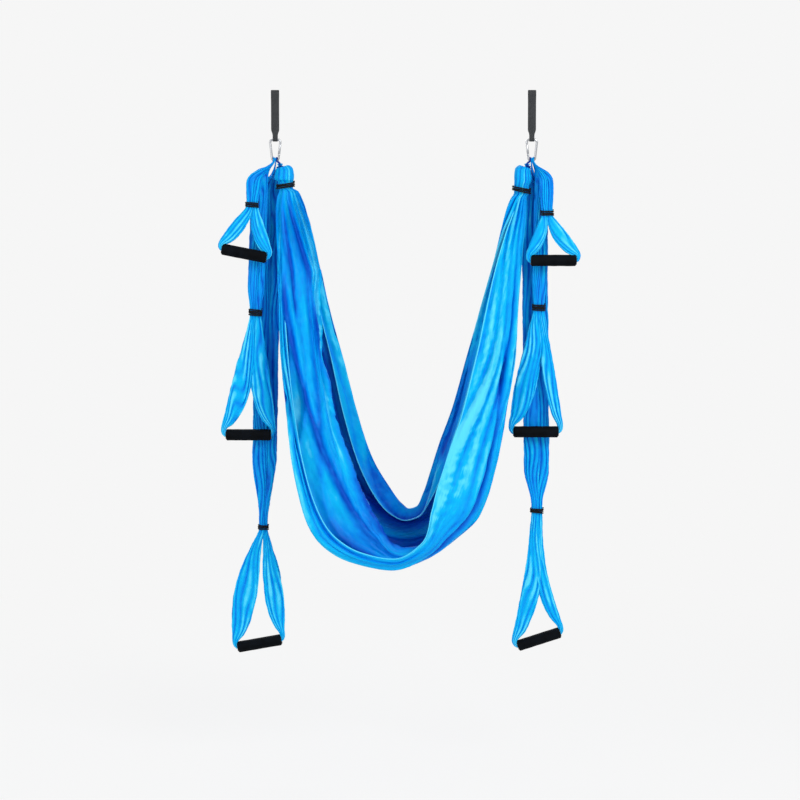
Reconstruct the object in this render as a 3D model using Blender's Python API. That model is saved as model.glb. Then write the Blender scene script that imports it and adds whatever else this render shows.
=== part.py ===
"""Aerial yoga swing: a cloth seat hung from two straps, with three hand slings on each side.

Frame: metres, +Z up, +X to the viewer's right, -Y towards the viewer.
The origin lies midway between the two points that the straps hang from.
"""

import math
from dataclasses import dataclass

import bmesh
import bpy
import numpy as np
from mathutils import Vector

# Clearances
CLEAR = 0.0003
STRAND_GAP = 0.0008
TURN_GAP = 0.0006

# Straps: a sewn ring of webbing with an eye at the top for the ceiling hook
HANG_SPACING = 0.762
STRAP_DROP = 0.144
STRAP_WIDTH = 0.024
STRAP_NECK_WIDTH = 0.015
STRAP_NECK_LENGTH = 0.030
STRAP_THICK = 0.0022
STRAP_LAYER_GAP = 0.0010
EYE_RADIUS = 0.007
EYE_LENGTH = 0.032
EYE_TAPER_SHARES = (0.35, 0.75, 1.0)
NECK_SHARES = (0.35, 0.7)

# Spring hooks: round wire with a flat top, a narrow bow and a gate on the seat's side
WIRE_RADIUS = 0.0035
HOOK_HEIGHT = 0.070
HOOK_TOP_FLAT = 0.014
HOOK_TOP_CORNER = 0.008
HOOK_BOW_RADIUS = 0.010
NOSE_LENGTH = 0.005
NOSE_GAP = 0.0006
PIVOT_RISE = 0.008
PIVOT_SETBACK = 0.0054
TONGUE_THICK = 0.0028
TONGUE_HALF_WIDTH = 0.0029
TONGUE_OVERLAP = 0.001
GATE_RADIUS = 0.0036
GATE_TAIL = 0.0030
PIN_RADIUS = 0.0011
PIN_LENGTH = 0.0072

# How the four loops share the bow, and the loop's own section there
SLOT_PITCH = 0.0028
LOOP_HALF_WIDTH = 0.0011
LOOP_HALF_DEPTH = 0.0030

# Slings fan out below the bow, first sideways and then in depth
FAN_FIRST = 0.060
FAN_LAST = 0.110
FAN_DEPTH = 0.078
SETTLE_LENGTH = 0.010
LONG_SHARES = (0.06, 0.50, 0.88)
STRAND_HALF = 0.0095
STRAND_DEPTH = 0.0065
FOLD_DEPTH = 0.80
PINCH_LENGTH = 0.070
RING_SIDES = 8

# Grips: a foam sleeve on a hard core, which the sling's cloth runs through
GRIP_LENGTH = 0.133
FOAM_RADIUS = 0.0170
FOAM_ROUND = 0.0030
CORE_RADIUS = 0.0115
CORE_WALL = 0.0016
CORE_PROUD = 0.0015
CORE_LIP = 0.0014
CORNER_REACH = 0.0100
LEG_BOW = 0.006
LEG_SHARES = (0.22, 0.48, 0.76)
MOUTH_SHARE = 0.84
MOUTH_DEPTH = 0.008
GRIP_SIDES = 18

# Elastic ties: one cord wound round the gathered cloth
TIE_CORD_RADIUS = 0.0022
TIE_POINTS = 10
TIE_EASE = 1.10
TIE_MARGIN = 0.0028
TIE_SQUARENESS = 2.6

# Cloth seat
SEAT_TIE_DROP = {-1: 0.279, 1: 0.292}
SEAT_TIE_INBOARD = 0.030
SEAT_TIE_RADIUS = 0.0230
SEAT_TIE_TURNS = 3
SEAT_TIE_HOLD = 0.011
SEAT_FALL = 1.152
SEAT_FALL_TOP = 0.279
SEAT_HALF_DEPTH = 0.170
SEAT_THICK = 0.0030
SIDE_FOLD_SHARE = 0.4
SEAT_FOLD_HEIGHT = 0.0075
BULB_RADIUS = 0.0255
BULB_INBOARD = 0.026
BULB_SHARE = 0.42
NECK_RADIUS = 0.0060
KNOB_RADIUS = 0.0095
KNOB_HEIGHT = 0.0060
NECK_INBOARD = 0.014
NECK_TOP_GAP = 0.0035
END_FOLD_SHARE = 0.04
SECTION_SPAN = math.radians(84)

# Anchor loops: dark cord that chokes the seat's neck and hangs it on the bow
ANCHOR_SLOT = -1.5
ANCHOR_RADIUS = 0.0022
ANCHOR_TURNS = 1.5
ANCHOR_POINTS = 10

BLUE = (0.0, 0.27, 0.86, 1.0)
NAVY = (0.0, 0.03, 0.35, 1.0)
BLACK = (0.008, 0.009, 0.010, 1.0)
WEBBING = (0.035, 0.038, 0.040, 1.0)
STEEL = (0.62, 0.63, 0.65, 1.0)
PLASTIC = (0.02, 0.02, 0.02, 1.0)

BOW_DROP = STRAP_DROP + HOOK_HEIGHT - 2 * WIRE_RADIUS
TIE_PITCH = 2 * TIE_CORD_RADIUS + TURN_GAP
ANCHOR_PITCH = 2 * ANCHOR_RADIUS + TURN_GAP
NECK_TOP = BOW_DROP + WIRE_RADIUS + NECK_TOP_GAP + KNOB_HEIGHT
NECK_LENGTH = ANCHOR_TURNS * ANCHOR_PITCH + 2 * ANCHOR_RADIUS + 4 * CLEAR
SIDES = {"left": -1, "right": 1}


@dataclass(frozen=True)
class Sling:
    """One hand sling: where it is tied and where its grip lies, measured from the hook's bow."""

    name: str
    slot: float
    fan_out: float
    depth: float
    tie_out: float
    tie_drop: float
    grip_out: float
    grip_drop: float
    tilt: float
    tie_half: float
    leg_half: float
    turns: int


SLINGS = {
    "left": (
        Sling("short", 1.6, 0.061, -0.042, 0.0675, 0.128, 0.0915, 0.273, 11, 0.0080, 0.0120, 3),
        Sling("medium", 0.5, 0.046, 0.0, 0.0615, 0.450, 0.0845, 0.819, 0, 0.0080, 0.0165, 4),
        Sling("long", -0.5, 0.020, 0.039, 0.0435, 1.104, 0.0570, 1.462, -10, 0.0060, 0.0180, 3),
    ),
    "right": (
        Sling("short", 1.6, 0.041, -0.042, 0.0435, 0.153, 0.0640, 0.294, 0, 0.0080, 0.0120, 3),
        Sling("medium", 0.5, 0.031, 0.0, 0.0235, 0.435, 0.0165, 0.810, 0, 0.0080, 0.0165, 4),
        Sling("long", -0.5, 0.0195, 0.039, 0.0230, 1.053, 0.0315, 1.449, 18, 0.0080, 0.0160, 3),
    ),
}

# The seat's outline, as shares of half the spacing and of the seat's fall: the outer edge, the inner
# edge, the share of the full depth, how far it is still a bundle, and how high its near hem and the crest
# of its front layer stand
SEAT_ROWS = (
    ((-0.992, 0.076), (-0.799, 0.076), 0.17, 0.85, 1.00, 0.80),
    ((-0.985, 0.167), (-0.744, 0.182), 0.24, 0.50, 1.00, 0.80),
    ((-0.970, 0.297), (-0.594, 0.323), 0.36, 0.20, 0.85, 0.74),
    ((-0.949, 0.440), (-0.461, 0.471), 0.48, 0.00, 0.12, 0.64),
    ((-0.902, 0.589), (-0.358, 0.609), 0.60, 0.00, 0.12, 0.65),
    ((-0.807, 0.740), (-0.232, 0.721), 0.74, 0.00, 0.13, 0.70),
    ((-0.657, 0.901), (-0.106, 0.794), 0.88, 0.00, 0.18, 0.69),
    ((-0.406, 0.974), (-0.020, 0.831), 0.97, 0.00, 0.20, 0.60),
    ((-0.091, 1.000), (0.043, 0.846), 1.00, 0.00, 0.25, 0.36),
    ((0.193, 0.979), (0.106, 0.841), 0.98, 0.00, 0.42, 0.24),
    ((0.429, 0.917), (0.169, 0.802), 0.90, 0.00, 0.74, 0.18),
    ((0.610, 0.854), (0.224, 0.753), 0.80, 0.00, 0.84, 0.16),
    ((0.720, 0.727), (0.303, 0.682), 0.66, 0.00, 0.85, 0.16),
    ((0.791, 0.589), (0.413, 0.578), 0.54, 0.00, 0.83, 0.18),
    ((0.850, 0.445), (0.547, 0.445), 0.42, 0.05, 0.83, 0.22),
    ((0.892, 0.302), (0.657, 0.307), 0.31, 0.20, 0.90, 0.30),
    ((0.924, 0.167), (0.760, 0.167), 0.22, 0.50, 1.00, 0.40),
    ((0.960, 0.076), (0.831, 0.076), 0.17, 0.85, 1.00, 0.50),
)

# The cloth's layers where it is open, from the near hem to the far one. Each place stands these shares of
# the hem's height, the crest's height and the whole height above the outer edge, at this share of the depth
SEAT_LAYERS = (
    (1.00, 0.00, 0.00, -1.00),
    (0.52, 0.00, 0.00, -1.03),
    (0.15, 0.00, 0.00, -0.90),
    (0.00, 0.00, 0.00, -0.66),
    (0.00, 0.42, 0.00, -0.72),
    (0.00, 0.85, 0.00, -0.66),
    (0.00, 1.00, 0.00, -0.50),
    (0.00, 0.58, 0.00, -0.20),
    (0.00, 0.00, 0.05, 0.10),
    (0.00, 0.00, 0.13, 0.45),
    (0.00, 0.00, 0.38, 0.74),
    (0.00, 0.00, 0.70, 0.86),
    (0.00, 0.00, 1.00, 0.90),
    (0.00, 0.00, 0.80, 0.52),
)
LAYERED_BELOW = 0.20


def material(name, colour, roughness, metallic=0.0):
    """Makes a plain material with one colour."""
    made = bpy.data.materials.new(name)
    made.use_nodes = True
    shader = made.node_tree.nodes["Principled BSDF"]
    shader.inputs["Base Color"].default_value = colour
    shader.inputs["Roughness"].default_value = roughness
    shader.inputs["Metallic"].default_value = metallic
    return made


def add_mesh(name, points, faces, finish):
    """Adds a closed mesh as one named object, with its faces turned outwards."""
    shape = bmesh.new()
    verts = [shape.verts.new(point) for point in points]
    for face in faces:
        shape.faces.new([verts[i] for i in face])
    bmesh.ops.recalc_face_normals(shape, faces=shape.faces)
    mesh = bpy.data.meshes.new(name)
    shape.to_mesh(mesh)
    shape.free()
    mesh.shade_smooth()
    mesh.set_sharp_from_angle(angle=math.radians(50))
    mesh.materials.append(finish)
    made = bpy.data.objects.new(name, mesh)
    bpy.context.scene.collection.objects.link(made)
    return made


def loft_faces(rows, sides, closed):
    """Gives the faces between successive rings of points, capped at both ends unless closed."""
    faces = []
    for row in range(rows if closed else rows - 1):
        following = (row + 1) % rows
        for side in range(sides):
            turn = (side + 1) % sides
            faces.append(
                (row * sides + side, row * sides + turn, following * sides + turn, following * sides + side)
            )
    if not closed:
        faces.append(tuple(range(sides)))
        faces.append(tuple((rows - 1) * sides + side for side in range(sides)))
    return faces


def smooth(share):
    """Eases a share from 0 to 1 with a level start and end."""
    held = min(max(share, 0.0), 1.0)
    return held * held * (3 - 2 * held)


def cylinder(name, start, end, radius, sides, finish):
    """Adds a round bar between two points."""
    start = Vector(start)
    end = Vector(end)
    along = (end - start).normalized()
    across = along.orthogonal().normalized()
    up = along.cross(across)
    points = []
    for centre in (start, end):
        for side in range(sides):
            angle = 2 * math.pi * side / sides
            points.append(centre + radius * (math.cos(angle) * across + math.sin(angle) * up))
    return add_mesh(name, points, loft_faces(2, sides, False), finish)


def block(name, centre, along, across, sizes, finish):
    """Adds a box with its length along one direction and its width along another."""
    along = Vector(along).normalized()
    across = Vector(across).normalized()
    up = along.cross(across)
    corners = []
    for step in (-0.5, 0.5):
        for wide, high in ((-0.5, -0.5), (0.5, -0.5), (0.5, 0.5), (-0.5, 0.5)):
            offset = step * sizes[0] * along + wide * sizes[1] * across + high * sizes[2] * up
            corners.append(Vector(centre) + offset)
    return add_mesh(name, corners, loft_faces(2, 4, False), finish)


def combine(target, tool, operation):
    """Applies a Boolean to the target and takes the tool out of the model."""
    modifier = target.modifiers.new("combine", "BOOLEAN")
    modifier.operation = operation
    modifier.solver = "EXACT"
    modifier.object = tool
    depsgraph = bpy.context.evaluated_depsgraph_get()
    result = bpy.data.meshes.new_from_object(target.evaluated_get(depsgraph))
    target.modifiers.clear()
    target.data = result
    bpy.data.objects.remove(tool)


# Straps
def strap_path():
    """Lists the strap's centreline round the ring, as depth and height, with the width at each point."""
    half = STRAP_THICK / 2
    layer = STRAP_LAYER_GAP / 2 + half
    eye = EYE_RADIUS + half
    hold = WIRE_RADIUS + CLEAR + half
    eye_steps = 7
    seat = math.cos(math.pi / eye_steps / 2)
    eye_centre = -EYE_RADIUS * seat
    path = []
    for step in range(eye_steps + 1):
        angle = math.pi * step / eye_steps
        path.append((eye * math.cos(angle), eye_centre + eye * math.sin(angle), STRAP_WIDTH))
    for share in EYE_TAPER_SHARES:
        y = layer + (eye - layer) * (1 - smooth(share))
        path.append((-y, eye_centre - share * EYE_LENGTH, STRAP_WIDTH))
    neck_start = STRAP_DROP - STRAP_NECK_LENGTH
    path.append((-layer, -neck_start, STRAP_WIDTH))
    for share in NECK_SHARES:
        y = layer + (hold - layer) * smooth(share)
        width = STRAP_WIDTH + (STRAP_NECK_WIDTH - STRAP_WIDTH) * smooth(share / NECK_SHARES[-1])
        path.append((-y, -neck_start - share * STRAP_NECK_LENGTH, width))
    hold_steps = 8
    outer_hold = hold / math.cos(math.pi / hold_steps / 2)
    for step in range(hold_steps + 1):
        angle = math.pi + math.pi * step / hold_steps
        height = -STRAP_DROP + outer_hold * math.sin(angle)
        path.append((outer_hold * math.cos(angle), height, STRAP_NECK_WIDTH))
    mirrored = [(-y, z, width) for y, z, width in path[eye_steps + 1 : -hold_steps - 1]]
    return path + mirrored[::-1]


def make_strap(label, finish):
    """Builds one strap as a closed ring of webbing."""
    x = SIDES[label] * HANG_SPACING / 2
    path = strap_path()
    points = []
    for index, (y, z, width) in enumerate(path):
        before = Vector(path[index - 1][:2])
        after = Vector(path[(index + 1) % len(path)][:2])
        along = (after - before).normalized()
        out = Vector((along.y, -along.x))
        for sideways, layer in ((-0.5, -0.5), (0.5, -0.5), (0.5, 0.5), (-0.5, 0.5)):
            place = Vector((y, z)) + out * layer * STRAP_THICK
            points.append((x + sideways * width, place.x, place.y))
    add_mesh(f"strap_{label}", points, loft_faces(len(path), 4, True), finish)


# Spring hooks
def hook_frame():
    """Gives the gate side's two tangent points and the angle of its outward normal, seen from the front."""
    corner = Vector((HOOK_TOP_FLAT / 2, -HOOK_TOP_CORNER))
    bow = Vector((0.0, -(HOOK_HEIGHT - 2 * WIRE_RADIUS - HOOK_BOW_RADIUS)))
    between = corner - bow
    turn = math.acos((HOOK_BOW_RADIUS - HOOK_TOP_CORNER) / between.length)
    angle = math.atan2(between.y, between.x) - turn
    normal = Vector((math.cos(angle), math.sin(angle)))
    return corner, bow, normal, angle


def gate_places():
    """Gives where the gate's pin and the hook's nose lie, and the way up the gate, from the front."""
    corner, bow, normal, _ = hook_frame()
    top = corner + HOOK_TOP_CORNER * normal
    low = bow + HOOK_BOW_RADIUS * normal
    rise = (top - low).normalized()
    return low + rise * PIVOT_RISE, top - rise * NOSE_LENGTH, rise


def hook_path():
    """Lists the hook's wire from its nose, over the top, down the back and round the bow to the pivot."""
    corner, bow, _, angle = hook_frame()
    pivot, nose, rise = gate_places()
    path = [nose]
    steps = 4
    for step in range(steps + 1):
        turn = angle + (math.pi / 2 - angle) * step / steps
        path.append(corner + HOOK_TOP_CORNER * Vector((math.cos(turn), math.sin(turn))))
    far = Vector((-corner.x, corner.y))
    for step in range(steps + 1):
        turn = math.pi / 2 + (math.pi / 2 - angle) * step / steps
        path.append(far + HOOK_TOP_CORNER * Vector((math.cos(turn), math.sin(turn))))
    bow_steps = 12
    for step in range(bow_steps + 1):
        turn = math.pi - angle + (math.pi + 2 * angle) * step / bow_steps
        path.append(bow + HOOK_BOW_RADIUS * Vector((math.cos(turn), math.sin(turn))))
    path.append(pivot - rise * PIVOT_SETBACK)
    return path


def on_hook(label, place, depth=0.0):
    """Puts a point of the hook's front view in the world, with the gate towards the seat."""
    side = SIDES[label]
    return Vector((side * HANG_SPACING / 2 - side * place.x, depth, place.y - STRAP_DROP))


def make_hook(label, steel):
    """Builds one spring hook: its body with a tongue, its gate with two ears, and the gate's pin."""
    path = hook_path()
    sides = 10
    points = []
    for index, place in enumerate(path):
        before = path[max(index - 1, 0)]
        after = path[min(index + 1, len(path) - 1)]
        along = (after - before).normalized()
        out = Vector((along.y, -along.x))
        for side in range(sides):
            angle = 2 * math.pi * side / sides
            shifted = place + out * WIRE_RADIUS * math.cos(angle)
            points.append(on_hook(label, shifted, WIRE_RADIUS * math.sin(angle)))
    body = add_mesh(f"hook_{label}", points, loft_faces(len(path), sides, False), steel)
    pivot, nose, rise = gate_places()
    rise3 = on_hook(label, rise) - on_hook(label, Vector((0, 0)))
    deep = Vector((0, 1, 0))
    tongue_root = PIVOT_SETBACK + TONGUE_OVERLAP
    tongue_length = tongue_root + TONGUE_HALF_WIDTH
    tongue_middle = pivot + rise * (TONGUE_HALF_WIDTH - tongue_root) / 2
    tongue_size = (tongue_length, TONGUE_THICK, 2 * TONGUE_HALF_WIDTH)
    tongue = block("tongue", on_hook(label, tongue_middle), rise3, deep, tongue_size, steel)
    combine(body, tongue, "UNION")
    hole_reach = PIN_LENGTH
    pin_at = on_hook(label, pivot)
    hole_radius = PIN_RADIUS + CLEAR
    hole = cylinder("hole", pin_at - deep * hole_reach, pin_at + deep * hole_reach, hole_radius, 12, steel)
    combine(body, hole, "DIFFERENCE")
    tail = on_hook(label, pivot - rise * GATE_TAIL)
    tip = on_hook(label, nose - rise * NOSE_GAP)
    gate = cylinder(f"gate_{label}", tail, tip, GATE_RADIUS, 14, steel)
    slot_reach = TONGUE_HALF_WIDTH * math.sqrt(2) + CLEAR
    slot_low = 2 * GATE_TAIL
    slot_middle = on_hook(label, pivot + rise * (slot_reach - slot_low) / 2)
    slot_size = (slot_reach + slot_low, TONGUE_THICK + 2 * CLEAR, 4 * GATE_RADIUS)
    slot = block("slot", slot_middle, rise3, deep, slot_size, steel)
    combine(gate, slot, "DIFFERENCE")
    hole = cylinder("hole", pin_at - deep * hole_reach, pin_at + deep * hole_reach, hole_radius, 12, steel)
    combine(gate, hole, "DIFFERENCE")
    half_pin = PIN_LENGTH / 2
    cylinder(f"gate_pin_{label}", pin_at - deep * half_pin, pin_at + deep * half_pin, PIN_RADIUS, 12, steel)


# Slings
def bow_wire(slot_offset):
    """Gives how far the bow's wire has risen at this distance from its middle."""
    return HOOK_BOW_RADIUS - math.sqrt(HOOK_BOW_RADIUS**2 - slot_offset**2)


def loop_radius(slot_offset):
    """Gives the middle radius of a loop over the bow, which bears on the wire at its outer edge."""
    edge = abs(slot_offset) + LOOP_HALF_WIDTH
    inside = HOOK_BOW_RADIUS - WIRE_RADIUS
    bearing = HOOK_BOW_RADIUS - math.sqrt(inside**2 - edge**2)
    return bearing - bow_wire(slot_offset) + CLEAR + LOOP_HALF_DEPTH


def outboard(label, out, depth, drop):
    """Puts a point given from the hook's bow in the world, with out pointing away from the seat."""
    side = SIDES[label]
    return Vector((side * (HANG_SPACING / 2 + out), depth, -BOW_DROP - drop))


def bundle_axis(sling, drop):
    """Gives the middle of a sling's two strands at this drop, as out and depth."""
    slot = sling.slot * SLOT_PITCH
    straight = sling.tie_drop - tie_reach(sling)
    fanned = min(FAN_LAST, straight)
    if drop < fanned:
        share = smooth(drop / fanned)
        return slot + (sling.fan_out - slot) * share, sling.depth * smooth(drop / FAN_DEPTH)
    share = min((drop - fanned) / max(straight - fanned, CLEAR), 1.0)
    return sling.fan_out + (sling.tie_out - sling.fan_out) * share, sling.depth


def tie_reach(sling):
    """Gives how far the gathered cloth runs straight above and below the middle of its tie."""
    return sling.turns * TIE_PITCH / 2 + TIE_CORD_RADIUS + TIE_MARGIN


def strand_sections(sling):
    """Lists drops below the bow with the strand's half width, half thickness and turn at each."""
    low = sling.tie_drop
    spare = low - FAN_LAST
    turned = min(FAN_LAST, low - tie_reach(sling) - SETTLE_LENGTH)
    drops = [0.0, FAN_FIRST * 0.37, FAN_FIRST * 0.72, FAN_FIRST * 1.25]
    if spare > FAN_LAST:
        drops += [FAN_LAST + spare * share for share in LONG_SHARES]
    else:
        drops.append(turned)
    drops += [low - tie_reach(sling), low + tie_reach(sling)]
    sections = []
    for drop in drops:
        grow = smooth(drop / FAN_LAST)
        half = LOOP_HALF_DEPTH + (STRAND_HALF - LOOP_HALF_DEPTH) * grow
        deep = LOOP_HALF_WIDTH + (STRAND_DEPTH - LOOP_HALF_WIDTH) * grow
        pinch = smooth(1 - (low - tie_reach(sling) - drop) / PINCH_LENGTH)
        half += (sling.tie_half - half) * pinch
        turn = math.pi / 2 * smooth((drop - FAN_FIRST * 0.9) / (turned - FAN_FIRST * 0.9))
        sections.append((drop, half, deep, turn))
    return sections


def strand(label, sling, which):
    """Lists stations down one strand, from the bow to just below the tie.

    Each station is a point, the direction across the strand's thin side, and its two half sizes.
    """
    side = SIDES[label]
    stations = []
    for drop, half, deep, turn in strand_sections(sling):
        out, depth = bundle_axis(sling, drop)
        apart = half + STRAND_GAP / 2
        if drop == 0.0:
            apart = loop_radius(sling.slot * SLOT_PITCH)
        centre = outboard(label, out, depth, drop)
        if drop == 0.0:
            centre.z += bow_wire(sling.slot * SLOT_PITCH)
        pair = Vector((side * math.sin(turn), -math.cos(turn), 0.0))
        thin = Vector((math.cos(turn), side * math.sin(turn), 0.0))
        stations.append((centre + which * apart * pair, thin, half, deep))
    return stations


def grip_axis(label, sling):
    """Gives the direction of a grip's axis, pointing away from the seat."""
    tilt = math.radians(sling.tilt)
    return Vector((SIDES[label] * math.cos(tilt), 0.0, math.sin(tilt)))


def grip_centre(label, sling):
    """Gives the middle of a grip."""
    return outboard(label, sling.grip_out, sling.depth, sling.grip_drop)


def leg(label, sling, which):
    """Lists stations from below the tie down one leg, round its corner and into the grip's bore."""
    axis = grip_axis(label, sling) * which
    middle = grip_centre(label, sling)
    bore = CORE_RADIUS - CORE_WALL
    fit = bore - CLEAR
    out, depth = bundle_axis(sling, sling.tie_drop)
    apart = sling.tie_half + STRAND_GAP / 2
    top = outboard(label, out, depth, sling.tie_drop + tie_reach(sling))
    top.x += SIDES[label] * which * apart
    end = middle + axis * (GRIP_LENGTH / 2 + CORE_PROUD)
    lift = Vector((0, 1, 0)).cross(axis)
    lift *= math.copysign(1.0, lift.z)
    elbow = end + axis * CORNER_REACH + lift * CORNER_REACH * 1.6
    thin = Vector((0.0, SIDES[label], 0.0))
    stations = []
    for share in LEG_SHARES:
        place = top.lerp(elbow, share)
        place.x += SIDES[label] * which * LEG_BOW * math.sin(math.pi * share)
        reach = abs(place.x - top.x) + apart
        half = min(sling.leg_half, reach - STRAND_GAP)
        stations.append((place, thin, half, STRAND_DEPTH * 0.9))
    pinched = CORNER_REACH * 0.82
    stations.append((elbow, thin, pinched, STRAND_DEPTH))
    bend = end + axis * CORNER_REACH * 0.80 + lift * CORNER_REACH * 0.50
    stations.append((bend, thin, pinched, STRAND_DEPTH))
    stations.append((end + axis * CORE_PROUD, thin, fit * MOUTH_SHARE, fit * MOUTH_SHARE))
    stations.append((end - axis * MOUTH_DEPTH, thin, fit, fit))
    return stations


def loop_over(wire, radius, steps):
    """Lists stations of a loop over the bow's wire, at these eighths of a turn from the back."""
    stations = []
    for step in steps:
        angle = math.pi * step / 4
        over = Vector((0.0, radius * math.cos(angle), radius * math.sin(angle)))
        stations.append((wire + over, Vector((1, 0, 0)), LOOP_HALF_DEPTH, LOOP_HALF_WIDTH))
    return stations


def add_ring(name, stations, fold_depth, finish):
    """Adds an endless loop through its stations, with folds along it where the fold depth is under 1."""
    points = []
    count = len(stations)
    for index, (centre, thin, half, deep) in enumerate(stations):
        along = (stations[(index + 1) % count][0] - stations[index - 1][0]).normalized()
        wide = along.cross(thin).normalized()
        thin_side = wide.cross(along).normalized()
        for side in range(RING_SIDES):
            angle = 2 * math.pi * side / RING_SIDES
            fold = fold_depth if side % 2 else 1.0
            across = half * math.cos(angle) * fold * wide
            points.append(centre + across + deep * math.sin(angle) * fold * thin_side)
    add_mesh(name, points, loft_faces(count, RING_SIDES, True), finish)


def make_sling(label, sling, cloth):
    """Builds one sling as an endless loop of cloth: over the bow, through its tie and through its grip."""
    stations = strand(label, sling, 1)
    stations += leg(label, sling, 1)
    stations += leg(label, sling, -1)[::-1]
    stations += strand(label, sling, -1)[::-1]
    slot = sling.slot * SLOT_PITCH
    wire = outboard(label, slot, 0.0, -bow_wire(slot))
    stations += loop_over(wire, loop_radius(slot), (1, 2, 3))
    add_ring(f"sling_{sling.name}_{label}", stations, FOLD_DEPTH, cloth)


def lathe(name, profile, centre, axis, sides, finish):
    """Turns a closed profile of distance along the axis and radius into a ring."""
    up = Vector((0, 1, 0))
    across = axis.cross(up).normalized()
    points = []
    for side in range(sides):
        angle = 2 * math.pi * (side + 0.5) / sides
        out = math.cos(angle) * across + math.sin(angle) * up
        for along, radius in profile:
            points.append(centre + axis * along + out * radius)
    return add_mesh(name, points, loft_faces(sides, len(profile), True), finish)


def make_grip(label, sling, foam, plastic):
    """Builds one grip: the foam sleeve and the lipped core inside it."""
    axis = grip_axis(label, sling)
    centre = grip_centre(label, sling)
    half = GRIP_LENGTH / 2
    hole = CORE_RADIUS + CLEAR
    eased = half - FOAM_ROUND
    inner_round = FOAM_RADIUS - FOAM_ROUND
    shoulder = FOAM_ROUND * (1 - math.sqrt(0.5))
    sleeve = [
        (-half, hole),
        (-half, inner_round),
        (-half + shoulder, FOAM_RADIUS - shoulder),
        (-eased, FOAM_RADIUS),
        (eased, FOAM_RADIUS),
        (half - shoulder, FOAM_RADIUS - shoulder),
        (half, inner_round),
        (half, hole),
    ]
    lathe(f"grip_foam_{sling.name}_{label}", sleeve, centre, axis, GRIP_SIDES, foam)
    bore = CORE_RADIUS - CORE_WALL
    end = half + CLEAR + CORE_PROUD
    lip = half + CLEAR
    core = [
        (-end, bore),
        (-end, CORE_RADIUS + CORE_LIP),
        (-lip, CORE_RADIUS + CORE_LIP),
        (-lip, CORE_RADIUS),
        (lip, CORE_RADIUS),
        (lip, CORE_RADIUS + CORE_LIP),
        (end, CORE_RADIUS + CORE_LIP),
        (end, bore),
    ]
    lathe(f"grip_core_{sling.name}_{label}", core, centre, axis, GRIP_SIDES, plastic)


# Ties
def winding_points(centre, half_x, half_y, turns):
    """Lists the points of a flattened helix: each turn is a rounded oval, one pitch below the last."""
    points = []
    total = turns * TIE_POINTS
    for step in range(total + 1):
        angle = 2 * math.pi * step / TIE_POINTS
        cosine = math.cos(angle)
        sine = math.sin(angle)
        power = 2 / TIE_SQUARENESS
        x = math.copysign(abs(cosine) ** power, cosine) * half_x
        y = math.copysign(abs(sine) ** power, sine) * half_y
        z = TIE_PITCH * (turns / 2 - step / TIE_POINTS)
        points.append(Vector(centre) + Vector((x, y, z)))
    return points


def least_gap(points, per_turn, radius):
    """Gives the least gap between turns, measured between points at least half a turn apart."""
    places = np.array([tuple(point) for point in points])
    best = math.inf
    for index in range(len(places)):
        later = places[index + per_turn // 2 + 1 :]
        if len(later):
            best = min(best, float(np.linalg.norm(later - places[index], axis=1).min()))
    return best - 2 * radius


def add_cord(name, points, radius, finish):
    """Adds one unbroken round cord through the points, with closed ends."""
    curve = bpy.data.curves.new(name, "CURVE")
    curve.dimensions = "3D"
    curve.bevel_depth = radius
    curve.bevel_resolution = 1
    curve.use_fill_caps = True
    spline = curve.splines.new("POLY")
    spline.points.add(len(points) - 1)
    for knot, place in zip(spline.points, points):
        knot.co = (*place, 1.0)
    curve.materials.append(finish)
    made = bpy.data.objects.new(name, curve)
    bpy.context.scene.collection.objects.link(made)


def make_tie(name, centre, bundle_x, bundle_y, turns, finish):
    """Winds one elastic tie round gathered cloth of this half width and half depth."""
    seat = CLEAR + TIE_CORD_RADIUS
    half_x = bundle_x + seat
    half_y = bundle_y * TIE_EASE + seat
    points = winding_points(centre, half_x, half_y, turns)
    gap = least_gap(points, TIE_POINTS, TIE_CORD_RADIUS)
    print(f"{name}: {turns} turns, least gap {gap * 1000:.2f} mm")
    add_cord(name, points, TIE_CORD_RADIUS, finish)


def make_sling_tie(label, sling, finish):
    """Winds the tie that gathers a sling above its grip."""
    out, depth = bundle_axis(sling, sling.tie_drop)
    centre = outboard(label, out, depth, sling.tie_drop)
    bundle_x = 2 * sling.tie_half + STRAND_GAP / 2
    make_tie(f"tie_{sling.name}_{label}", centre, bundle_x, STRAND_DEPTH, sling.turns, finish)


# Cloth seat
def seat_end_rows(label):
    """Lists round rows at one end of the seat, from the knob down to its tie: inboard, drop, radius."""
    side = SIDES[label]
    top = NECK_TOP - KNOB_HEIGHT
    low = NECK_TOP + NECK_LENGTH
    tie = SEAT_TIE_DROP[side]
    bulb = low + (tie - low) * BULB_SHARE
    return (
        (NECK_INBOARD, top, KNOB_RADIUS * 0.7),
        (NECK_INBOARD, top + KNOB_HEIGHT * 0.4, KNOB_RADIUS),
        (NECK_INBOARD, NECK_TOP, NECK_RADIUS),
        (NECK_INBOARD, low, NECK_RADIUS),
        (BULB_INBOARD * 0.8, low + 0.006, BULB_RADIUS * 0.72),
        (BULB_INBOARD, bulb, BULB_RADIUS),
        (SEAT_TIE_INBOARD, tie - SEAT_TIE_HOLD, SEAT_TIE_RADIUS),
        (SEAT_TIE_INBOARD, tie + SEAT_TIE_HOLD, SEAT_TIE_RADIUS),
    )


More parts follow.
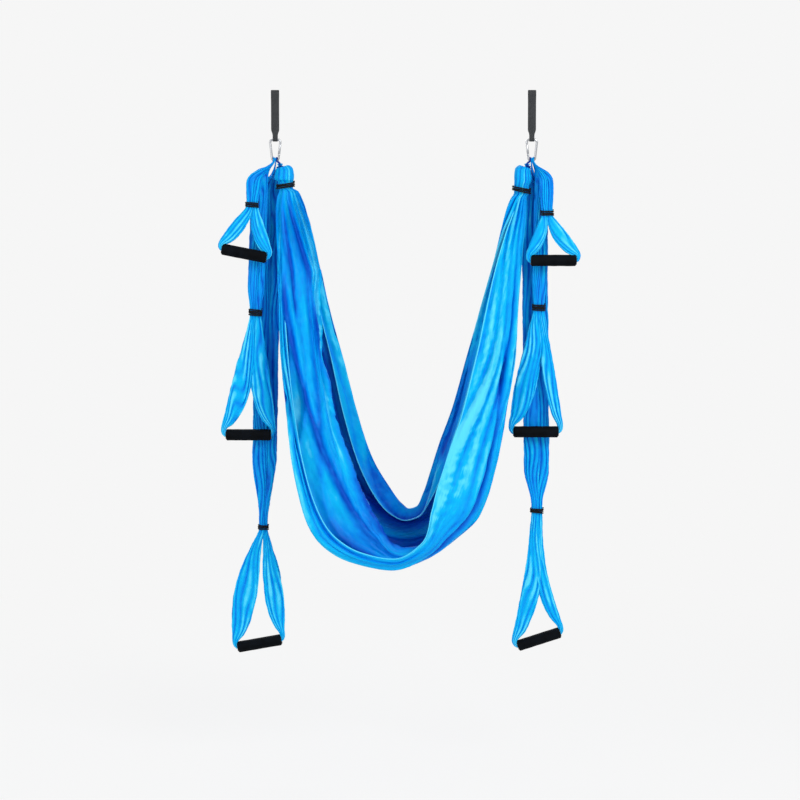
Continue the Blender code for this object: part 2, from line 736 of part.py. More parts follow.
def seat_face(size, half_depth, bundle, hem, crest, fold):
    """Lists the outer face of one section, as depth, rise and the rise where it is closed into an oval.

    An open section runs through the layers. Towards the ties it becomes an arc that is low at its middle.
    """
    count = len(SEAT_LAYERS) - 1
    layered = min(max(1 - bundle / LAYERED_BELOW, 0.0), 1.0)
    face = []
    for step, (of_hem, of_crest, of_whole, depth) in enumerate(SEAT_LAYERS):
        share = 2 * step / count - 1
        angle = SECTION_SPAN * share
        tall = hem if share < 0 else 1.0
        ripple = fold * (1 if step % 2 else -1) * (0 if step in (0, count) else 1) * (1 - layered)
        arc_y = half_depth * math.sin(angle) + SIDE_FOLD_SHARE * ripple * math.sin(angle)
        arc_rise = size * tall * (1 - math.cos(angle))
        oval_rise = size / 2 * (1 - math.cos(angle))
        layer_rise = size * (of_hem * hem + of_crest * crest + of_whole)
        open_rise = layered * layer_rise + (1 - layered) * arc_rise
        y = layered * depth * half_depth + (1 - layered) * arc_y
        rise = bundle * oval_rise + (1 - bundle) * open_rise
        swell = ripple * math.cos(angle)
        face.append((y, rise + swell, size - oval_rise - swell))
    return face


def seat_section(outer, inner, half_depth, bundle, hem, crest, fold):
    """Lists one closed section of the cloth between its outer and inner edges.

    The inner face follows the outer one at the cloth's thickness, or closes into an oval where the cloth
    is still a bundle.
    """
    start = Vector((outer[0], 0.0, outer[1]))
    reach = Vector((inner[0], 0.0, inner[1])) - start
    across = reach.normalized()
    face = seat_face(reach.length, half_depth, bundle, hem, crest, fold)
    places = [Vector((y, rise)) for y, rise, _ in face]
    back = []
    for step, (y, _, closed_rise) in enumerate(face):
        before = places[step] - places[max(step - 1, 0)]
        after = places[min(step + 1, len(places) - 1)] - places[step]
        inward = Vector((0.0, 0.0))
        for along in (before, after):
            if along.length:
                inward += Vector((-along.y, along.x)).normalized()
        inward.normalize()
        open_place = places[step] + inward * SEAT_THICK
        back_y = bundle * y + (1 - bundle) * open_place.x
        back.append((back_y, bundle * closed_rise + (1 - bundle) * open_place.y))
    loop = [(place.x, place.y) for place in places] + back[::-1]
    return [start + across * rise + Vector((0, y, 0)) for y, rise in loop]


def make_seat(cloth):
    """Builds the cloth seat: gathered ends, folded legs and the open trough between them."""
    half = HANG_SPACING / 2
    sections = []
    for inboard, drop, radius in seat_end_rows("left"):
        x = -half + inboard
        fold = radius * END_FOLD_SHARE
        sections.append(seat_section((x - radius, -drop), (x + radius, -drop), radius, 1.0, 1.0, 1.0, fold))
    for outer, inner, deep, bundle, hem, crest in SEAT_ROWS:
        low = (outer[0] * half, -SEAT_FALL_TOP - outer[1] * SEAT_FALL)
        high = (inner[0] * half, -SEAT_FALL_TOP - inner[1] * SEAT_FALL)
        fold = SEAT_FOLD_HEIGHT * (1 - 0.6 * deep) * (1 - 0.6 * bundle)
        sections.append(seat_section(low, high, deep * SEAT_HALF_DEPTH, bundle, hem, crest, fold))
    for inboard, drop, radius in reversed(seat_end_rows("right")):
        x = half - inboard
        fold = radius * END_FOLD_SHARE
        sections.append(seat_section((x + radius, -drop), (x - radius, -drop), radius, 1.0, 1.0, 1.0, fold))
    sides = len(sections[0])
    points = [point for section in sections for point in section]
    add_mesh("seat_cloth", points, loft_faces(len(sections), sides, False), cloth)


def make_seat_tie(label, finish):
    """Winds the tie that gathers one end of the seat."""
    side = SIDES[label]
    centre = (side * (HANG_SPACING / 2 - SEAT_TIE_INBOARD), 0.0, -SEAT_TIE_DROP[side])
    round_half = SEAT_TIE_RADIUS * (1 + END_FOLD_SHARE)
    make_tie(f"seat_tie_{label}", centre, round_half, round_half, SEAT_TIE_TURNS, finish)


def make_anchor(label, finish):
    """Builds the band that goes over the bow, down and round the seat's neck, and back up."""
    side = SIDES[label]
    slot = ANCHOR_SLOT * SLOT_PITCH
    wire = outboard(label, slot, 0.0, -bow_wire(slot))
    stations = loop_over(wire, loop_radius(slot), (0, 1, 2, 3, 4))
    neck_x = side * (HANG_SPACING / 2 - NECK_INBOARD)
    swell = 1 + END_FOLD_SHARE
    past_knob = KNOB_RADIUS * swell + 2 * CLEAR + ANCHOR_RADIUS
    knob_middle = -NECK_TOP + KNOB_HEIGHT / 2
    level = Vector((1, 0, 0))
    upright = Vector((0, 0, 1))
    half = ANCHOR_RADIUS
    stations.append((Vector((neck_x, -past_knob, knob_middle)), level, half, half))
    ring = (NECK_RADIUS * swell + CLEAR + ANCHOR_RADIUS) / math.cos(math.pi / ANCHOR_POINTS)
    first = -NECK_TOP - ANCHOR_RADIUS - 2 * CLEAR
    steps = int(ANCHOR_TURNS * ANCHOR_POINTS)
    for step in range(steps + 1):
        angle = 2 * math.pi * step / ANCHOR_POINTS - math.pi / 2
        z = first - ANCHOR_PITCH * step / ANCHOR_POINTS
        place = Vector((neck_x + ring * math.cos(angle), ring * math.sin(angle), z))
        stations.append((place, upright, half, half))
    winding = [station[0] for station in stations[-steps - 1 :]]
    outside = ring + ANCHOR_PITCH + CLEAR
    low = stations[-1][0].z
    stations.append((Vector((neck_x, outside, low + ANCHOR_RADIUS)), level, half, half))
    stations.append((Vector((neck_x, outside, first)), level, half, half))
    stations.append((Vector((neck_x, past_knob + CLEAR, knob_middle + CLEAR)), level, half, half))
    gap = least_gap(winding, ANCHOR_POINTS, ANCHOR_RADIUS)
    print(f"anchor_{label}: {ANCHOR_TURNS} turns, least gap {gap * 1000:.2f} mm")
    add_ring(f"anchor_{label}", stations, 1.0, finish)


def build():
    """Clears the scene and builds every piece."""
    for old in list(bpy.data.objects):
        bpy.data.objects.remove(old)
    cloth = material("blue cloth", BLUE, 0.5)
    navy = material("dark blue webbing", NAVY, 0.6)
    elastic = material("black elastic", BLACK, 0.8)
    webbing = material("grey webbing", WEBBING, 0.7)
    steel = material("polished steel", STEEL, 0.2, 1.0)
    foam = material("black foam", BLACK, 0.9)
    plastic = material("black plastic", PLASTIC, 0.4)
    make_seat(cloth)
    for label in SIDES:
        make_strap(label, webbing)
        make_hook(label, steel)
        make_anchor(label, navy)
        make_seat_tie(label, elastic)
        for sling in SLINGS[label]:
            make_sling(label, sling, cloth)
            make_sling_tie(label, sling, elastic)
            make_grip(label, sling, foam, plastic)


build()
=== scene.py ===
"""Dresses the aerial yoga swing: gathered cloth, webbing straps, spring hooks, ties and foam grips.

Frame: metres, +Z up, +X to the viewer's right, -Y towards the viewer. The origin lies midway between the
two points that the straps hang from. Sizes are the real ones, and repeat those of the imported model.
"""

import logging
import math
from dataclasses import dataclass, field
from enum import Enum

import bmesh
import bpy
import numpy as np
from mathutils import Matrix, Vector
from numpy.typing import NDArray


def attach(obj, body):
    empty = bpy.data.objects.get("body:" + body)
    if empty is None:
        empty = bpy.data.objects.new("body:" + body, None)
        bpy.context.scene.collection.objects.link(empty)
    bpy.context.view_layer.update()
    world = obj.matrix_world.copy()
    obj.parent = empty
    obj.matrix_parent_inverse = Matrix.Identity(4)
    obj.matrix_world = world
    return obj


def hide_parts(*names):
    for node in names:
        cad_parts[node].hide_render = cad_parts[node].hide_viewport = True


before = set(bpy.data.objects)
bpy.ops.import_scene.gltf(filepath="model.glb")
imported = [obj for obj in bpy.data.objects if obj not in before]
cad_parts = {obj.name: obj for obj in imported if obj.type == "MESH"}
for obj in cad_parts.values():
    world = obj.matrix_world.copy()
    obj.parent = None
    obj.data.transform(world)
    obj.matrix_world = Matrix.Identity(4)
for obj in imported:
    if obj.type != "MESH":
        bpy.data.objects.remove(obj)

Array = NDArray[np.float64]
Colour = tuple[float, float, float]
Place = tuple[float, float, float]
Material = bpy.types.Material
Piece = bpy.types.Object
Socket = bpy.types.NodeSocket
LOG = logging.getLogger("yoga_swing")
DEEPWARDS = np.array([0.0, 1.0, 0.0])
UPWARDS = np.array([0.0, 0.0, 1.0])

# Clearances, the hang points, the steps at a sharp or bevelled edge, and how far folds swell a tied bundle
CLEAR = 0.0003
STRAND_GAP = 0.0008
SHARP = 0.0001
BEVEL = 0.0004
FOLD_SWELL = 1.04
TURN_GAP = 0.0006
HALF_SPACING = 0.381

# Straps and spring hooks
STRAP_DROP = 0.144
STRAP_WIDTH = 0.024
STRAP_NECK_WIDTH = 0.015
STRAP_NECK_LENGTH = 0.030
STRAP_THICK = 0.0022
STRAP_LAYER_GAP = 0.0010
EYE_RADIUS = 0.007
EYE_LENGTH = 0.032
WIRE_RADIUS = 0.0035
HOOK_HEIGHT = 0.070
HOOK_TOP_FLAT = 0.014
HOOK_TOP_CORNER = 0.008
HOOK_BOW_RADIUS = 0.010
NOSE_LENGTH = 0.005
NOSE_GAP = 0.0006
PIVOT_RISE = 0.008
PIVOT_SETBACK = 0.0054
TONGUE_THICK = 0.0028
TONGUE_HALF_WIDTH = 0.0029
GATE_RADIUS = 0.0036
GATE_TAIL = 0.0030
PIN_RADIUS = 0.0011
PIN_LENGTH = 0.0072
PIN_HEAD = 0.0006
BOW_DROP = STRAP_DROP + HOOK_HEIGHT - 2 * WIRE_RADIUS

# The loops on the bow and the way the slings fan out below it
SLOT_PITCH = 0.0028
LOOP_HALF_WIDTH = 0.0011
LOOP_HALF_DEPTH = 0.0030
FAN_DEPTH = 0.078
SETTLE_LENGTH = 0.010
STRAND_DEPTH = 0.0065

# Grips
GRIP_LENGTH = 0.133
FOAM_RADIUS = 0.0170
FOAM_ROUND = 0.0040
CORE_RADIUS = 0.0115
CORE_WALL = 0.0016
CORE_PROUD = 0.0015
CORE_LIP = 0.0014
CORNER_REACH = 0.0100
CORNER_PINCH = 0.70
ELBOW = (0.62, 1.60)
BEND = (0.60, 0.50)
BORE_FILL = (0.80, 0.84, 0.84)

# Ties
TIE_CORD_RADIUS = 0.0022
TIE_EASE = 1.10
TIE_MARGIN = 0.0028
TIE_SQUARENESS = 2.6
TIE_PITCH = 2 * TIE_CORD_RADIUS + TURN_GAP

# Seat
SEAT_TIE_DROP = {-1: 0.279, 1: 0.292}
SEAT_TIE_INBOARD = 0.030
SEAT_TIE_RADIUS = 0.0230
SEAT_FALL = 1.152
SEAT_FALL_TOP = 0.279
SEAT_HALF_DEPTH = 0.170
BULB_RADIUS = {-1: 0.0292, 1: 0.0262}
BULB_INBOARD = 0.026
NECK_RADIUS = 0.0060
KNOB_RADIUS = 0.0095
KNOB_HEIGHT = 0.0060
NECK_INBOARD = 0.014
NECK_TOP_GAP = 0.0035
ANCHOR_RADIUS = 0.0022
ANCHOR_SLOT = -1.5
ANCHOR_TURNS = 1.5
ANCHOR_PITCH = 2 * ANCHOR_RADIUS + TURN_GAP
NECK_TOP = BOW_DROP + WIRE_RADIUS + NECK_TOP_GAP + KNOB_HEIGHT
NECK_LENGTH = ANCHOR_TURNS * ANCHOR_PITCH + 2 * ANCHOR_RADIUS + 4 * CLEAR


class Side(Enum):
    """One side of the swing, with the sign of its X."""

    LEFT = -1
    RIGHT = 1

    @property
    def label(self) -> str:
        """The word used in the names of the pieces."""
        return self.name.lower()


def ease(share: Array | float) -> Array:
    """Eases shares from 0 to 1 with a level start and end: three squares less two cubes."""
    held = np.clip(share, 0.0, 1.0)
    return held * held * (3 - 2 * held)


def through(knots: Array, values: Array, at: Array) -> Array:
    """Reads a smooth curve through knots that never swings past them.

    Each piece is a cubic whose end slopes are the weighted harmonic mean of the chords beside the knot, or
    zero where the chords turn back.

    Args:
        knots: Rising places of the knots.
        values: One row of values for each knot.
        at: Places to read.

    Returns:
        One row of values for each place.
    """
    knots = np.asarray(knots, float)
    values = np.asarray(values, float).reshape(len(knots), -1)
    gap = np.diff(knots)[:, None]
    chord = np.diff(values, axis=0) / gap
    slope = np.zeros_like(values)
    slope[0] = chord[0]
    slope[-1] = chord[-1]
    first = 2 * gap[1:] + gap[:-1]
    second = gap[1:] + 2 * gap[:-1]
    same = chord[:-1] * chord[1:] > 0
    safe_low = np.where(same, chord[:-1], 1.0)
    safe_high = np.where(same, chord[1:], 1.0)
    slope[1:-1] = np.where(same, (first + second) / (first / safe_low + second / safe_high), 0.0)
    place = np.clip(np.searchsorted(knots, at, side="right") - 1, 0, len(knots) - 2)
    width = gap[place]
    share = ((np.asarray(at, float) - knots[place]) / width[:, 0])[:, None]
    square = share * share
    cube = square * share
    return (
        values[place] * (2 * cube - 3 * square + 1)
        + slope[place] * width * (cube - 2 * square + share)
        + values[place + 1] * (3 * square - 2 * cube)
        + slope[place + 1] * width * (cube - square)
    )


def chord_lengths(points: Array) -> Array:
    """Gives how far along the polyline each of its points lies."""
    steps = np.linalg.norm(np.diff(points, axis=0), axis=1)
    return np.concatenate([[0.0], np.cumsum(steps)])


def unit(vectors: Array) -> Array:
    """Scales each vector to length one."""
    return vectors / np.maximum(np.linalg.norm(vectors, axis=-1, keepdims=True), 1e-12)


def all_round(steps: int) -> Array:
    """Gives evenly spaced angles of a full turn, without its end."""
    return np.linspace(0, 2 * math.pi, steps, endpoint=False)


def on_circle(angle: Array) -> Array:
    """Gives the points of a circle of radius one at these angles, in rows of two."""
    return np.stack([np.cos(angle), np.sin(angle)], 1)


def mirrored(profile: Array) -> Array:
    """Turns a profile's rows over to the other side, in reverse order."""
    return (profile * [-1, 1])[::-1]


def ring_way(path: Array) -> Array:
    """Gives the direction of an endless path at each of its points."""
    return unit(np.roll(path, -1, axis=0) - np.roll(path, 1, axis=0))


def averaged(rows: Array, times: int) -> Array:
    """Averages each row with its two neighbours round a ring, which rounds the ring's corners."""
    for _ in range(times):
        rows = 0.25 * np.roll(rows, 1, axis=0) + 0.5 * rows + 0.25 * np.roll(rows, -1, axis=0)
    return rows


def blunt(value: Array, power: float) -> Array:
    """Raises the size of values to a power and keeps their sign, which squares a circle."""
    return np.sign(value) * np.abs(value) ** power


def bell(place: Array, middle: Array | float, half: float) -> Array:
    """Gives a bell-shaped bump: e to minus the squared distance from its middle, in half widths."""
    return np.exp(-(((place - middle) / half) ** 2))


def ripple(x: Array, y: Array | float, seed: int, waves: int = 7) -> Array:
    """Gives smooth uneven values from about -1 to 1: a sum of sine waves with seeded turns and starts.

    Args:
        x: First coordinate, in waves.
        y: Second coordinate, in waves, of a shape that goes with x.
        seed: Which set of waves.
        waves: How many sine waves are added.

    Returns:
        The values, of the shape that x and y have together.
    """
    draw = np.random.default_rng(seed)
    total = np.zeros(np.broadcast(x, y).shape)
    for _ in range(waves):
        turn, start = draw.uniform(0, 2 * math.pi, 2)
        pace = draw.uniform(0.6, 1.5) * 2 * math.pi
        total = total + np.sin(pace * (math.cos(turn) * x + math.sin(turn) * y) + start)
    return total / math.sqrt(waves) / 1.4


def crinkles(x: Array, y: Array, seed: int, waves: tuple[tuple[int, float, float, float], ...]) -> Array:
    """Adds up ripples, each given by a step of the seed, a size and how fast it runs along x and y."""
    return sum(size * ripple(x * fast_x, y * fast_y, seed + step) for step, size, fast_x, fast_y in waves)


def fold_wave(turns: Array) -> Array:
    """Gives the side view of folded cloth, from -1 to 1: a triangle wave with rounded tips."""
    bluntness = 0.93
    return np.arcsin(bluntness * np.sin(2 * math.pi * turns)) / math.asin(bluntness)


def pleat_wave(turns: Array) -> Array:
    """Gives round ridges between narrow creases, from -1 to 1: twice a power of the sine's size, less one."""
    roundness = 0.8
    return 2 * np.abs(np.sin(math.pi * turns)) ** roundness - 1


def outboard(side: Side, out: Array | float, depth: Array | float, drop: Array | float) -> Array:
    """Puts points given from a hook's bow in the world, with out pointing away from the seat."""
    out, depth, drop = np.broadcast_arrays(out, depth, drop)
    return np.stack([side.value * (HALF_SPACING + out), depth, -BOW_DROP - drop], axis=-1).astype(float)


def bow_rise(slot: float) -> float:
    """Gives how far the bow's wire has risen at this distance from its middle."""
    return HOOK_BOW_RADIUS - math.sqrt(HOOK_BOW_RADIUS**2 - slot**2)


def loop_radius(slot: float) -> float:
    """Gives the middle radius of a loop over the bow, which bears on the wire at its outer edge."""
    edge = abs(slot) + LOOP_HALF_WIDTH
    bearing = HOOK_BOW_RADIUS - math.sqrt((HOOK_BOW_RADIUS - WIRE_RADIUS) ** 2 - edge**2)
    return bearing - bow_rise(slot) + CLEAR + LOOP_HALF_DEPTH


def over_wire(side: Side, slot: float, turn: Array) -> Array:
    """Lists points of a loop over the bow's wire, at these angles from its back to its front."""
    wire = outboard(side, slot, 0.0, -bow_rise(slot))
    return wire + loop_radius(slot) * np.stack([np.zeros_like(turn), np.cos(turn), np.sin(turn)], 1)


class Shape:
    """Turns grids of points into meshes."""

    # Attribute with the folds' painted shade and light, which the cloth's colour ramp reads
    TONE = "fold_tone"

    @staticmethod
    def surface(
        name: str,
        points: Array,
        material: Material,
        wrap: tuple[bool, bool] = (False, False),
        caps: bool = False,
        tone: Array | None = None,
        flat: tuple[float, float] | None = None,
    ) -> Piece:
        """Builds a smooth surface over a grid of points.

        Args:
            name: The object's name.
            points: Grid of shape (rows, columns, 3).
            material: The finish.
            wrap: Whether the rows and the columns close on themselves.
            caps: Whether the first and last rows are closed with a face, where columns wrap.
            tone: A value from 0 to 1 at each point, kept as an attribute: the folds' painted shading.
            flat: Width and length of the flat cloth, used for the UV map. Without it, the map has the
                lengths measured on the surface. Both are in metres.

        Returns:
            The new object.
        """
        rows, columns = points.shape[:2]
        row, column = np.meshgrid(
            np.arange(rows if wrap[0] else rows - 1),
            np.arange(columns if wrap[1] else columns - 1),
            indexing="ij",
        )
        corner_row = np.stack([row, row, row + 1, row + 1], -1).reshape(-1, 4)
        corner_column = np.stack([column, column + 1, column + 1, column], -1).reshape(-1, 4)
        faces = (corner_row % rows) * columns + corner_column % columns
        listed = faces.tolist()
        if caps:
            listed.append(list(range(columns)))
            listed.append([(rows - 1) * columns + place for place in reversed(range(columns))])
        mesh = bpy.data.meshes.new(name)
        mesh.from_pydata(points.reshape(-1, 3).tolist(), [], listed)
        across, along = Shape.spread(points, wrap, flat)
        layer = mesh.uv_layers.new(name="UVMap")
        uv = np.zeros((len(mesh.loops), 2))
        uv[: faces.size, 0] = across[corner_row, corner_column].ravel()
        uv[: faces.size, 1] = along[corner_row].ravel()
        layer.data.foreach_set("uv", uv.ravel())
        if tone is not None:
            attribute = mesh.attributes.new(Shape.TONE, "FLOAT", "POINT")
            attribute.data.foreach_set("value", np.ascontiguousarray(tone, np.float32).ravel())
        if wrap[1] and (caps or wrap[0]):
            shape = bmesh.new()
            shape.from_mesh(mesh)
            bmesh.ops.recalc_face_normals(shape, faces=shape.faces)
            shape.to_mesh(mesh)
            shape.free()
        mesh.shade_smooth()
        mesh.materials.append(material)
        made = bpy.data.objects.new(name, mesh)
        bpy.context.scene.collection.objects.link(made)
        return made

    @staticmethod
    def spread(
        points: Array, wrap: tuple[bool, bool], flat: tuple[float, float] | None
    ) -> tuple[Array, Array]:
        """Lays a grid out flat, for the UV map.

        Args:
            points: Grid of shape (rows, columns, 3).
            wrap: Whether the rows and the columns close on themselves.
            flat: Width and length of the flat cloth. Without it, lengths are measured on the surface.

        Returns:
            How far across each point and how far along each row lies, in metres.
        """
        whole = np.pad(points, ((0, int(wrap[0])), (0, int(wrap[1])), (0, 0)), mode="wrap")
        if flat is not None:
            across = np.broadcast_to(np.linspace(0, flat[0], whole.shape[1]), whole.shape[:2])
            return across, np.linspace(0, flat[1], whole.shape[0])
        across = np.linalg.norm(np.diff(whole, axis=1), axis=2).cumsum(axis=1)
        along = np.linalg.norm(np.diff(whole, axis=0), axis=2).mean(axis=1).cumsum()
        return np.pad(across, ((0, 0), (1, 0))), np.pad(along, (1, 0))

    @staticmethod
    def tube(
        name: str,
        path: Array,
        radius: Array | float,
        upright: Array,
        sides: int,
        material: Material,
        closed: bool = False,
        squash: float = 1.0,
        tone: float | None = None,
    ) -> Piece:
        """Carries a circle along a path: each ring lies square to the path, turned by the upright direction.

        Args:
            name: The object's name.
            path: Points of shape (points, 3).
            radius: One radius, or one for each point.
            upright: A direction, or one for each point, that is never along the path.
            sides: How many points are in a ring.
            material: The finish.
            closed: Whether the path ends where it starts.
            squash: The ring's size along the second direction as a share of its radius.
            tone: One level of painted fold shading for the whole tube.

        Returns:
            The new object.
        """
        along = ring_way(path) if closed else unit(np.gradient(path, axis=0))
        across = unit(np.cross(along, upright))
        second = np.cross(across, along)
        turn = all_round(sides)
        size = np.broadcast_to(radius, len(path))[:, None, None]
        ring = across[:, None] * np.cos(turn)[:, None] + squash * second[:, None] * np.sin(turn)[:, None]
        points = path[:, None] + size * ring
        level = None if tone is None else np.full(points.shape[:2], tone)
        return Shape.surface(name, points, material, (closed, True), caps=not closed, tone=level)

    @staticmethod
    def lathe(
        name: str,
        profile: Array,
        centre: Array,
        axis: Array,
        sides: int,
        material: Material,
        closed: bool = True,
        wobble: Array | None = None,
    ) -> Piece:
        """Turns a profile of places along an axis and radii about it.

        Args:
            name: The object's name.
            profile: Rows of distance along the axis and radius.
            centre: The point that distances are measured from.
            axis: The axis direction.
            sides: How many steps make a turn.
            material: The finish.
            closed: Whether the profile is an endless outline, or an open one that is capped.
            wobble: An offset added to the radius at each profile point and step.

        Returns:
            The new object.
        """
        axis = unit(np.asarray(axis, float))
        across = unit(np.cross(axis, DEEPWARDS))
        second = np.cross(axis, across)
        turn = all_round(sides)
        out = across * np.cos(turn)[:, None] + second * np.sin(turn)[:, None]
        radius = profile[:, 1, None] + (0.0 if wobble is None else wobble)
        points = centre + profile[:, 0, None, None] * axis + radius[..., None] * out
        return Shape.surface(name, points, material, (closed, True), caps=not closed)

    @staticmethod
    def thicken(piece: Piece, thickness: float) -> None:
        """Gives a sheet its thickness."""
        shell = piece.modifiers.new("thickness", "SOLIDIFY")
        shell.thickness = thickness
        shell.offset = 0.0


class Nodes:
    """Short calls that add and join the shader nodes of one tree."""

    def __init__(self, tree: bpy.types.NodeTree) -> None:
        """Takes the tree that the nodes go into."""
        self.tree = tree

    def node(self, kind: str, **settings: object) -> bpy.types.Node:
        """Adds a node and sets its named properties."""
        made = self.tree.nodes.new(kind)
        for key, value in settings.items():
            setattr(made, key, value)
        return made

    def link(self, source: Socket, target: Socket) -> None:
        """Joins two sockets."""
        self.tree.links.new(source, target)

    def fed(self, made: bpy.types.Node, **inputs: object) -> bpy.types.Node:
        """Sets or links a node's inputs by name, with underscores for spaces.

        Args:
            made: The node.
            **inputs: A number, a colour or a socket for each named input.

        Returns:
            The same node.
        """
        for key, value in inputs.items():
            target = made.inputs[key.replace("_", " ")]
            if isinstance(value, Socket):
                self.link(value, target)
            else:
                target.default_value = value
        return made

    def place(self, output: str, scale: Place = (1.0, 1.0, 1.0)) -> Socket:
        """Gives scaled coordinates.

        Args:
            output: UV or Object.
            scale: How many pattern units fit in a metre along each direction.

        Returns:
            The vector socket.
        """
        source = self.node("ShaderNodeTexCoord").outputs[output]
        return self.fed(self.node("ShaderNodeMapping"), Scale=scale, Vector=source).outputs["Vector"]

    def noise(self, where: Socket, scale: float, detail: float = 3.0) -> Socket:
        """Gives cloudy values from 0 to 1."""
        made = self.node("ShaderNodeTexNoise")
        return self.fed(made, Scale=scale, Detail=detail, Vector=where).outputs["Fac"]

    def wave(self, where: Socket, direction: str, scale: float) -> Socket:
        """Gives straight ribs."""
        made = self.node("ShaderNodeTexWave", wave_type="BANDS", bands_direction=direction)
        return self.fed(made, Scale=scale, Vector=where).outputs["Fac"]

    def sum(self, first: Socket, second: Socket | float, operation: str = "ADD") -> Socket:
        """Combines two values, by adding unless another operation is named."""
        made = self.node("ShaderNodeMath", operation=operation)
        self.link(first, made.inputs[0])
        if isinstance(second, float):
            made.inputs[1].default_value = second
        else:
            self.link(second, made.inputs[1])
        return made.outputs[0]

    def weighted(self, *parts: tuple[Socket, float]) -> Socket:
        """Adds up values, each times its weight."""
        total, *others = (self.sum(value, weight, "MULTIPLY") for value, weight in parts)
        for other in others:
            total = self.sum(total, other)
        return total

    def span(self, value: Socket, low: float, high: float) -> Socket:
        """Stretches values from 0 to 1 over a range."""
        made = self.node("ShaderNodeMapRange")
        return self.fed(made, To_Min=low, To_Max=high, Value=value).outputs["Result"]

    def ramp(self, value: Socket, stops: tuple[tuple[float, Colour], ...]) -> Socket:
        """Turns values into colours through named stops."""
        made = self.node("ShaderNodeValToRGB")
        steps = made.color_ramp.elements
        while len(steps) < len(stops):
            steps.new(0.5)
        for step, (place, colour) in zip(steps, stops):
            step.position = place
            step.color = (*colour, 1.0)
        return self.fed(made, Fac=value).outputs["Color"]

    def bump(self, height: Socket, strength: float, distance: float, under: Socket | None = None) -> Socket:
        """Gives a normal from a height, on top of another normal where one is given."""
        made = self.fed(self.node("ShaderNodeBump"), Strength=strength, Distance=distance, Height=height)
        if under is not None:
            self.fed(made, Normal=under)
        return made.outputs["Normal"]

    def seen(self) -> Socket:
        """Gives 1 for what the camera sees, straight, mirrored or through glass, and 0 for what lights."""
        path = self.node("ShaderNodeLightPath")
        direct = self.sum(path.outputs["Is Camera Ray"], path.outputs["Is Glossy Ray"], "MAXIMUM")
        return self.sum(direct, path.outputs["Is Transmission Ray"], "MAXIMUM")

    def blend(self, share: Socket, first: Socket, second: Socket, output: str) -> None:
        """Mixes two shaders by a share and sends them to the named output node."""
        mix = self.fed(self.node("ShaderNodeMixShader"), Fac=share)
        self.link(first, mix.inputs[1])
        self.link(second, mix.inputs[2])
        self.link(mix.outputs["Shader"], self.tree.nodes[output].inputs["Surface"])


class Paint(Nodes):
    """Builds one node material."""

    def __init__(self, name: str) -> None:
        """Starts a material with a Principled shader."""
        self.material = bpy.data.materials.new(name)
        self.material.use_nodes = True
        super().__init__(self.material.node_tree)
        self.shader = self.tree.nodes["Principled BSDF"]

    def dress(self, **inputs: object) -> Material:
        """Feeds the shader's named inputs and gives the finished material."""
        self.fed(self.shader, **inputs)
        return self.material


@dataclass(frozen=True)
class ClothFinish:
    """Crinkled nylon: deep blue painted shade in folds, bright painted highlights on crests and streaks."""

    name: str = "crinkled_nylon"
    # Ramp stops from painted shade in the valleys to painted highlights on crests and glints
    valley: Colour = (0.000, 0.070, 0.480)
    middle: Colour = (0.000, 0.235, 0.760)
    crest: Colour = (0.000, 0.435, 0.800)
    glint: Colour = (0.090, 0.640, 0.900)
    roughness: tuple[float, float] = (0.34, 0.54)

    def build(self) -> Material:
        """Makes the material."""
        paint = Paint(self.name)
        along = paint.place("UV", (1.0, 0.14, 1.0))
        tone = paint.node("ShaderNodeAttribute", attribute_name=Shape.TONE).outputs["Fac"]
        streaks = paint.noise(along, 40.0, 4.0)
        crinkle = paint.noise(paint.place("UV", (1.0, 0.55, 1.0)), 70.0, 6.0)
        clouds = paint.noise(paint.place("UV", (1.0, 0.5, 1.0)), 9.0, 3.0)
        # The ramp paints shade in the valleys and highlights and glints on the crests and streaks
        mixed = paint.weighted((streaks, 0.40), (crinkle, 0.22), (clouds, 0.26), (tone, 0.62))
        stops = ((0.42, self.valley), (0.64, self.middle), (0.88, self.crest), (1.0, self.glint))
        # The streaks run along the cloth and, with the crinkles, also bump it
        pull = paint.bump(streaks, 0.50, 0.0035)
        creased = paint.bump(crinkle, 0.60, 0.0022, pull)
        threads = paint.place("UV")
        weave = paint.sum(paint.wave(threads, "X", 420.0), paint.wave(threads, "Y", 420.0))
        woven = paint.bump(weave, 0.06, 0.0001, creased)
        return paint.dress(
            Base_Color=paint.ramp(mixed, stops),
            Roughness=paint.span(crinkle, *self.roughness),
            Specular_IOR_Level=0.08,
            Normal=woven,
        )


@dataclass(frozen=True)
class WovenFinish:
    """Ribbed webbing or band, with ribs along its length and a weave across."""

    name: str
    dark: Colour
    light: Colour
    ribs: float
    picks: float
    roughness: float = 0.72

    def build(self) -> Material:
        """Makes the material."""
        paint = Paint(self.name)
        threads = paint.place("UV")
        ribs = paint.wave(threads, "X", self.ribs)
        picks = paint.wave(threads, "Y", self.picks)
        weave = paint.sum(ribs, picks, "MULTIPLY")
        fuzz = paint.noise(paint.place("Object"), 700.0, 2.0)
        tone = paint.weighted((weave, 0.7), (fuzz, 0.35))
        return paint.dress(
            Base_Color=paint.ramp(tone, ((0.15, self.dark), (0.85, self.light))),
            Roughness=self.roughness,
            Specular_IOR_Level=0.2,
            Normal=paint.bump(weave, 0.5, 0.0003),
        )


@dataclass(frozen=True)
class FoamFinish:
    """Closed-cell foam: matte black with fine cells and faint rubbed patches."""

    name: str = "grip_foam"
    dark: Colour = (0.0010, 0.0015, 0.0025)
    light: Colour = (0.0030, 0.0045, 0.0070)

    def build(self) -> Material:
        """Makes the material."""
        paint = Paint(self.name)
        place = paint.place("Object")
        cells = paint.noise(place, 900.0, 2.0)
        rub = paint.noise(place, 38.0, 3.0)
        return paint.dress(
            Base_Color=paint.ramp(rub, ((0.35, self.dark), (0.75, self.light))),
            Roughness=paint.span(rub, 0.62, 0.80),
            Specular_IOR_Level=0.06,
            Normal=paint.bump(cells, 0.35, 0.0004),
        )


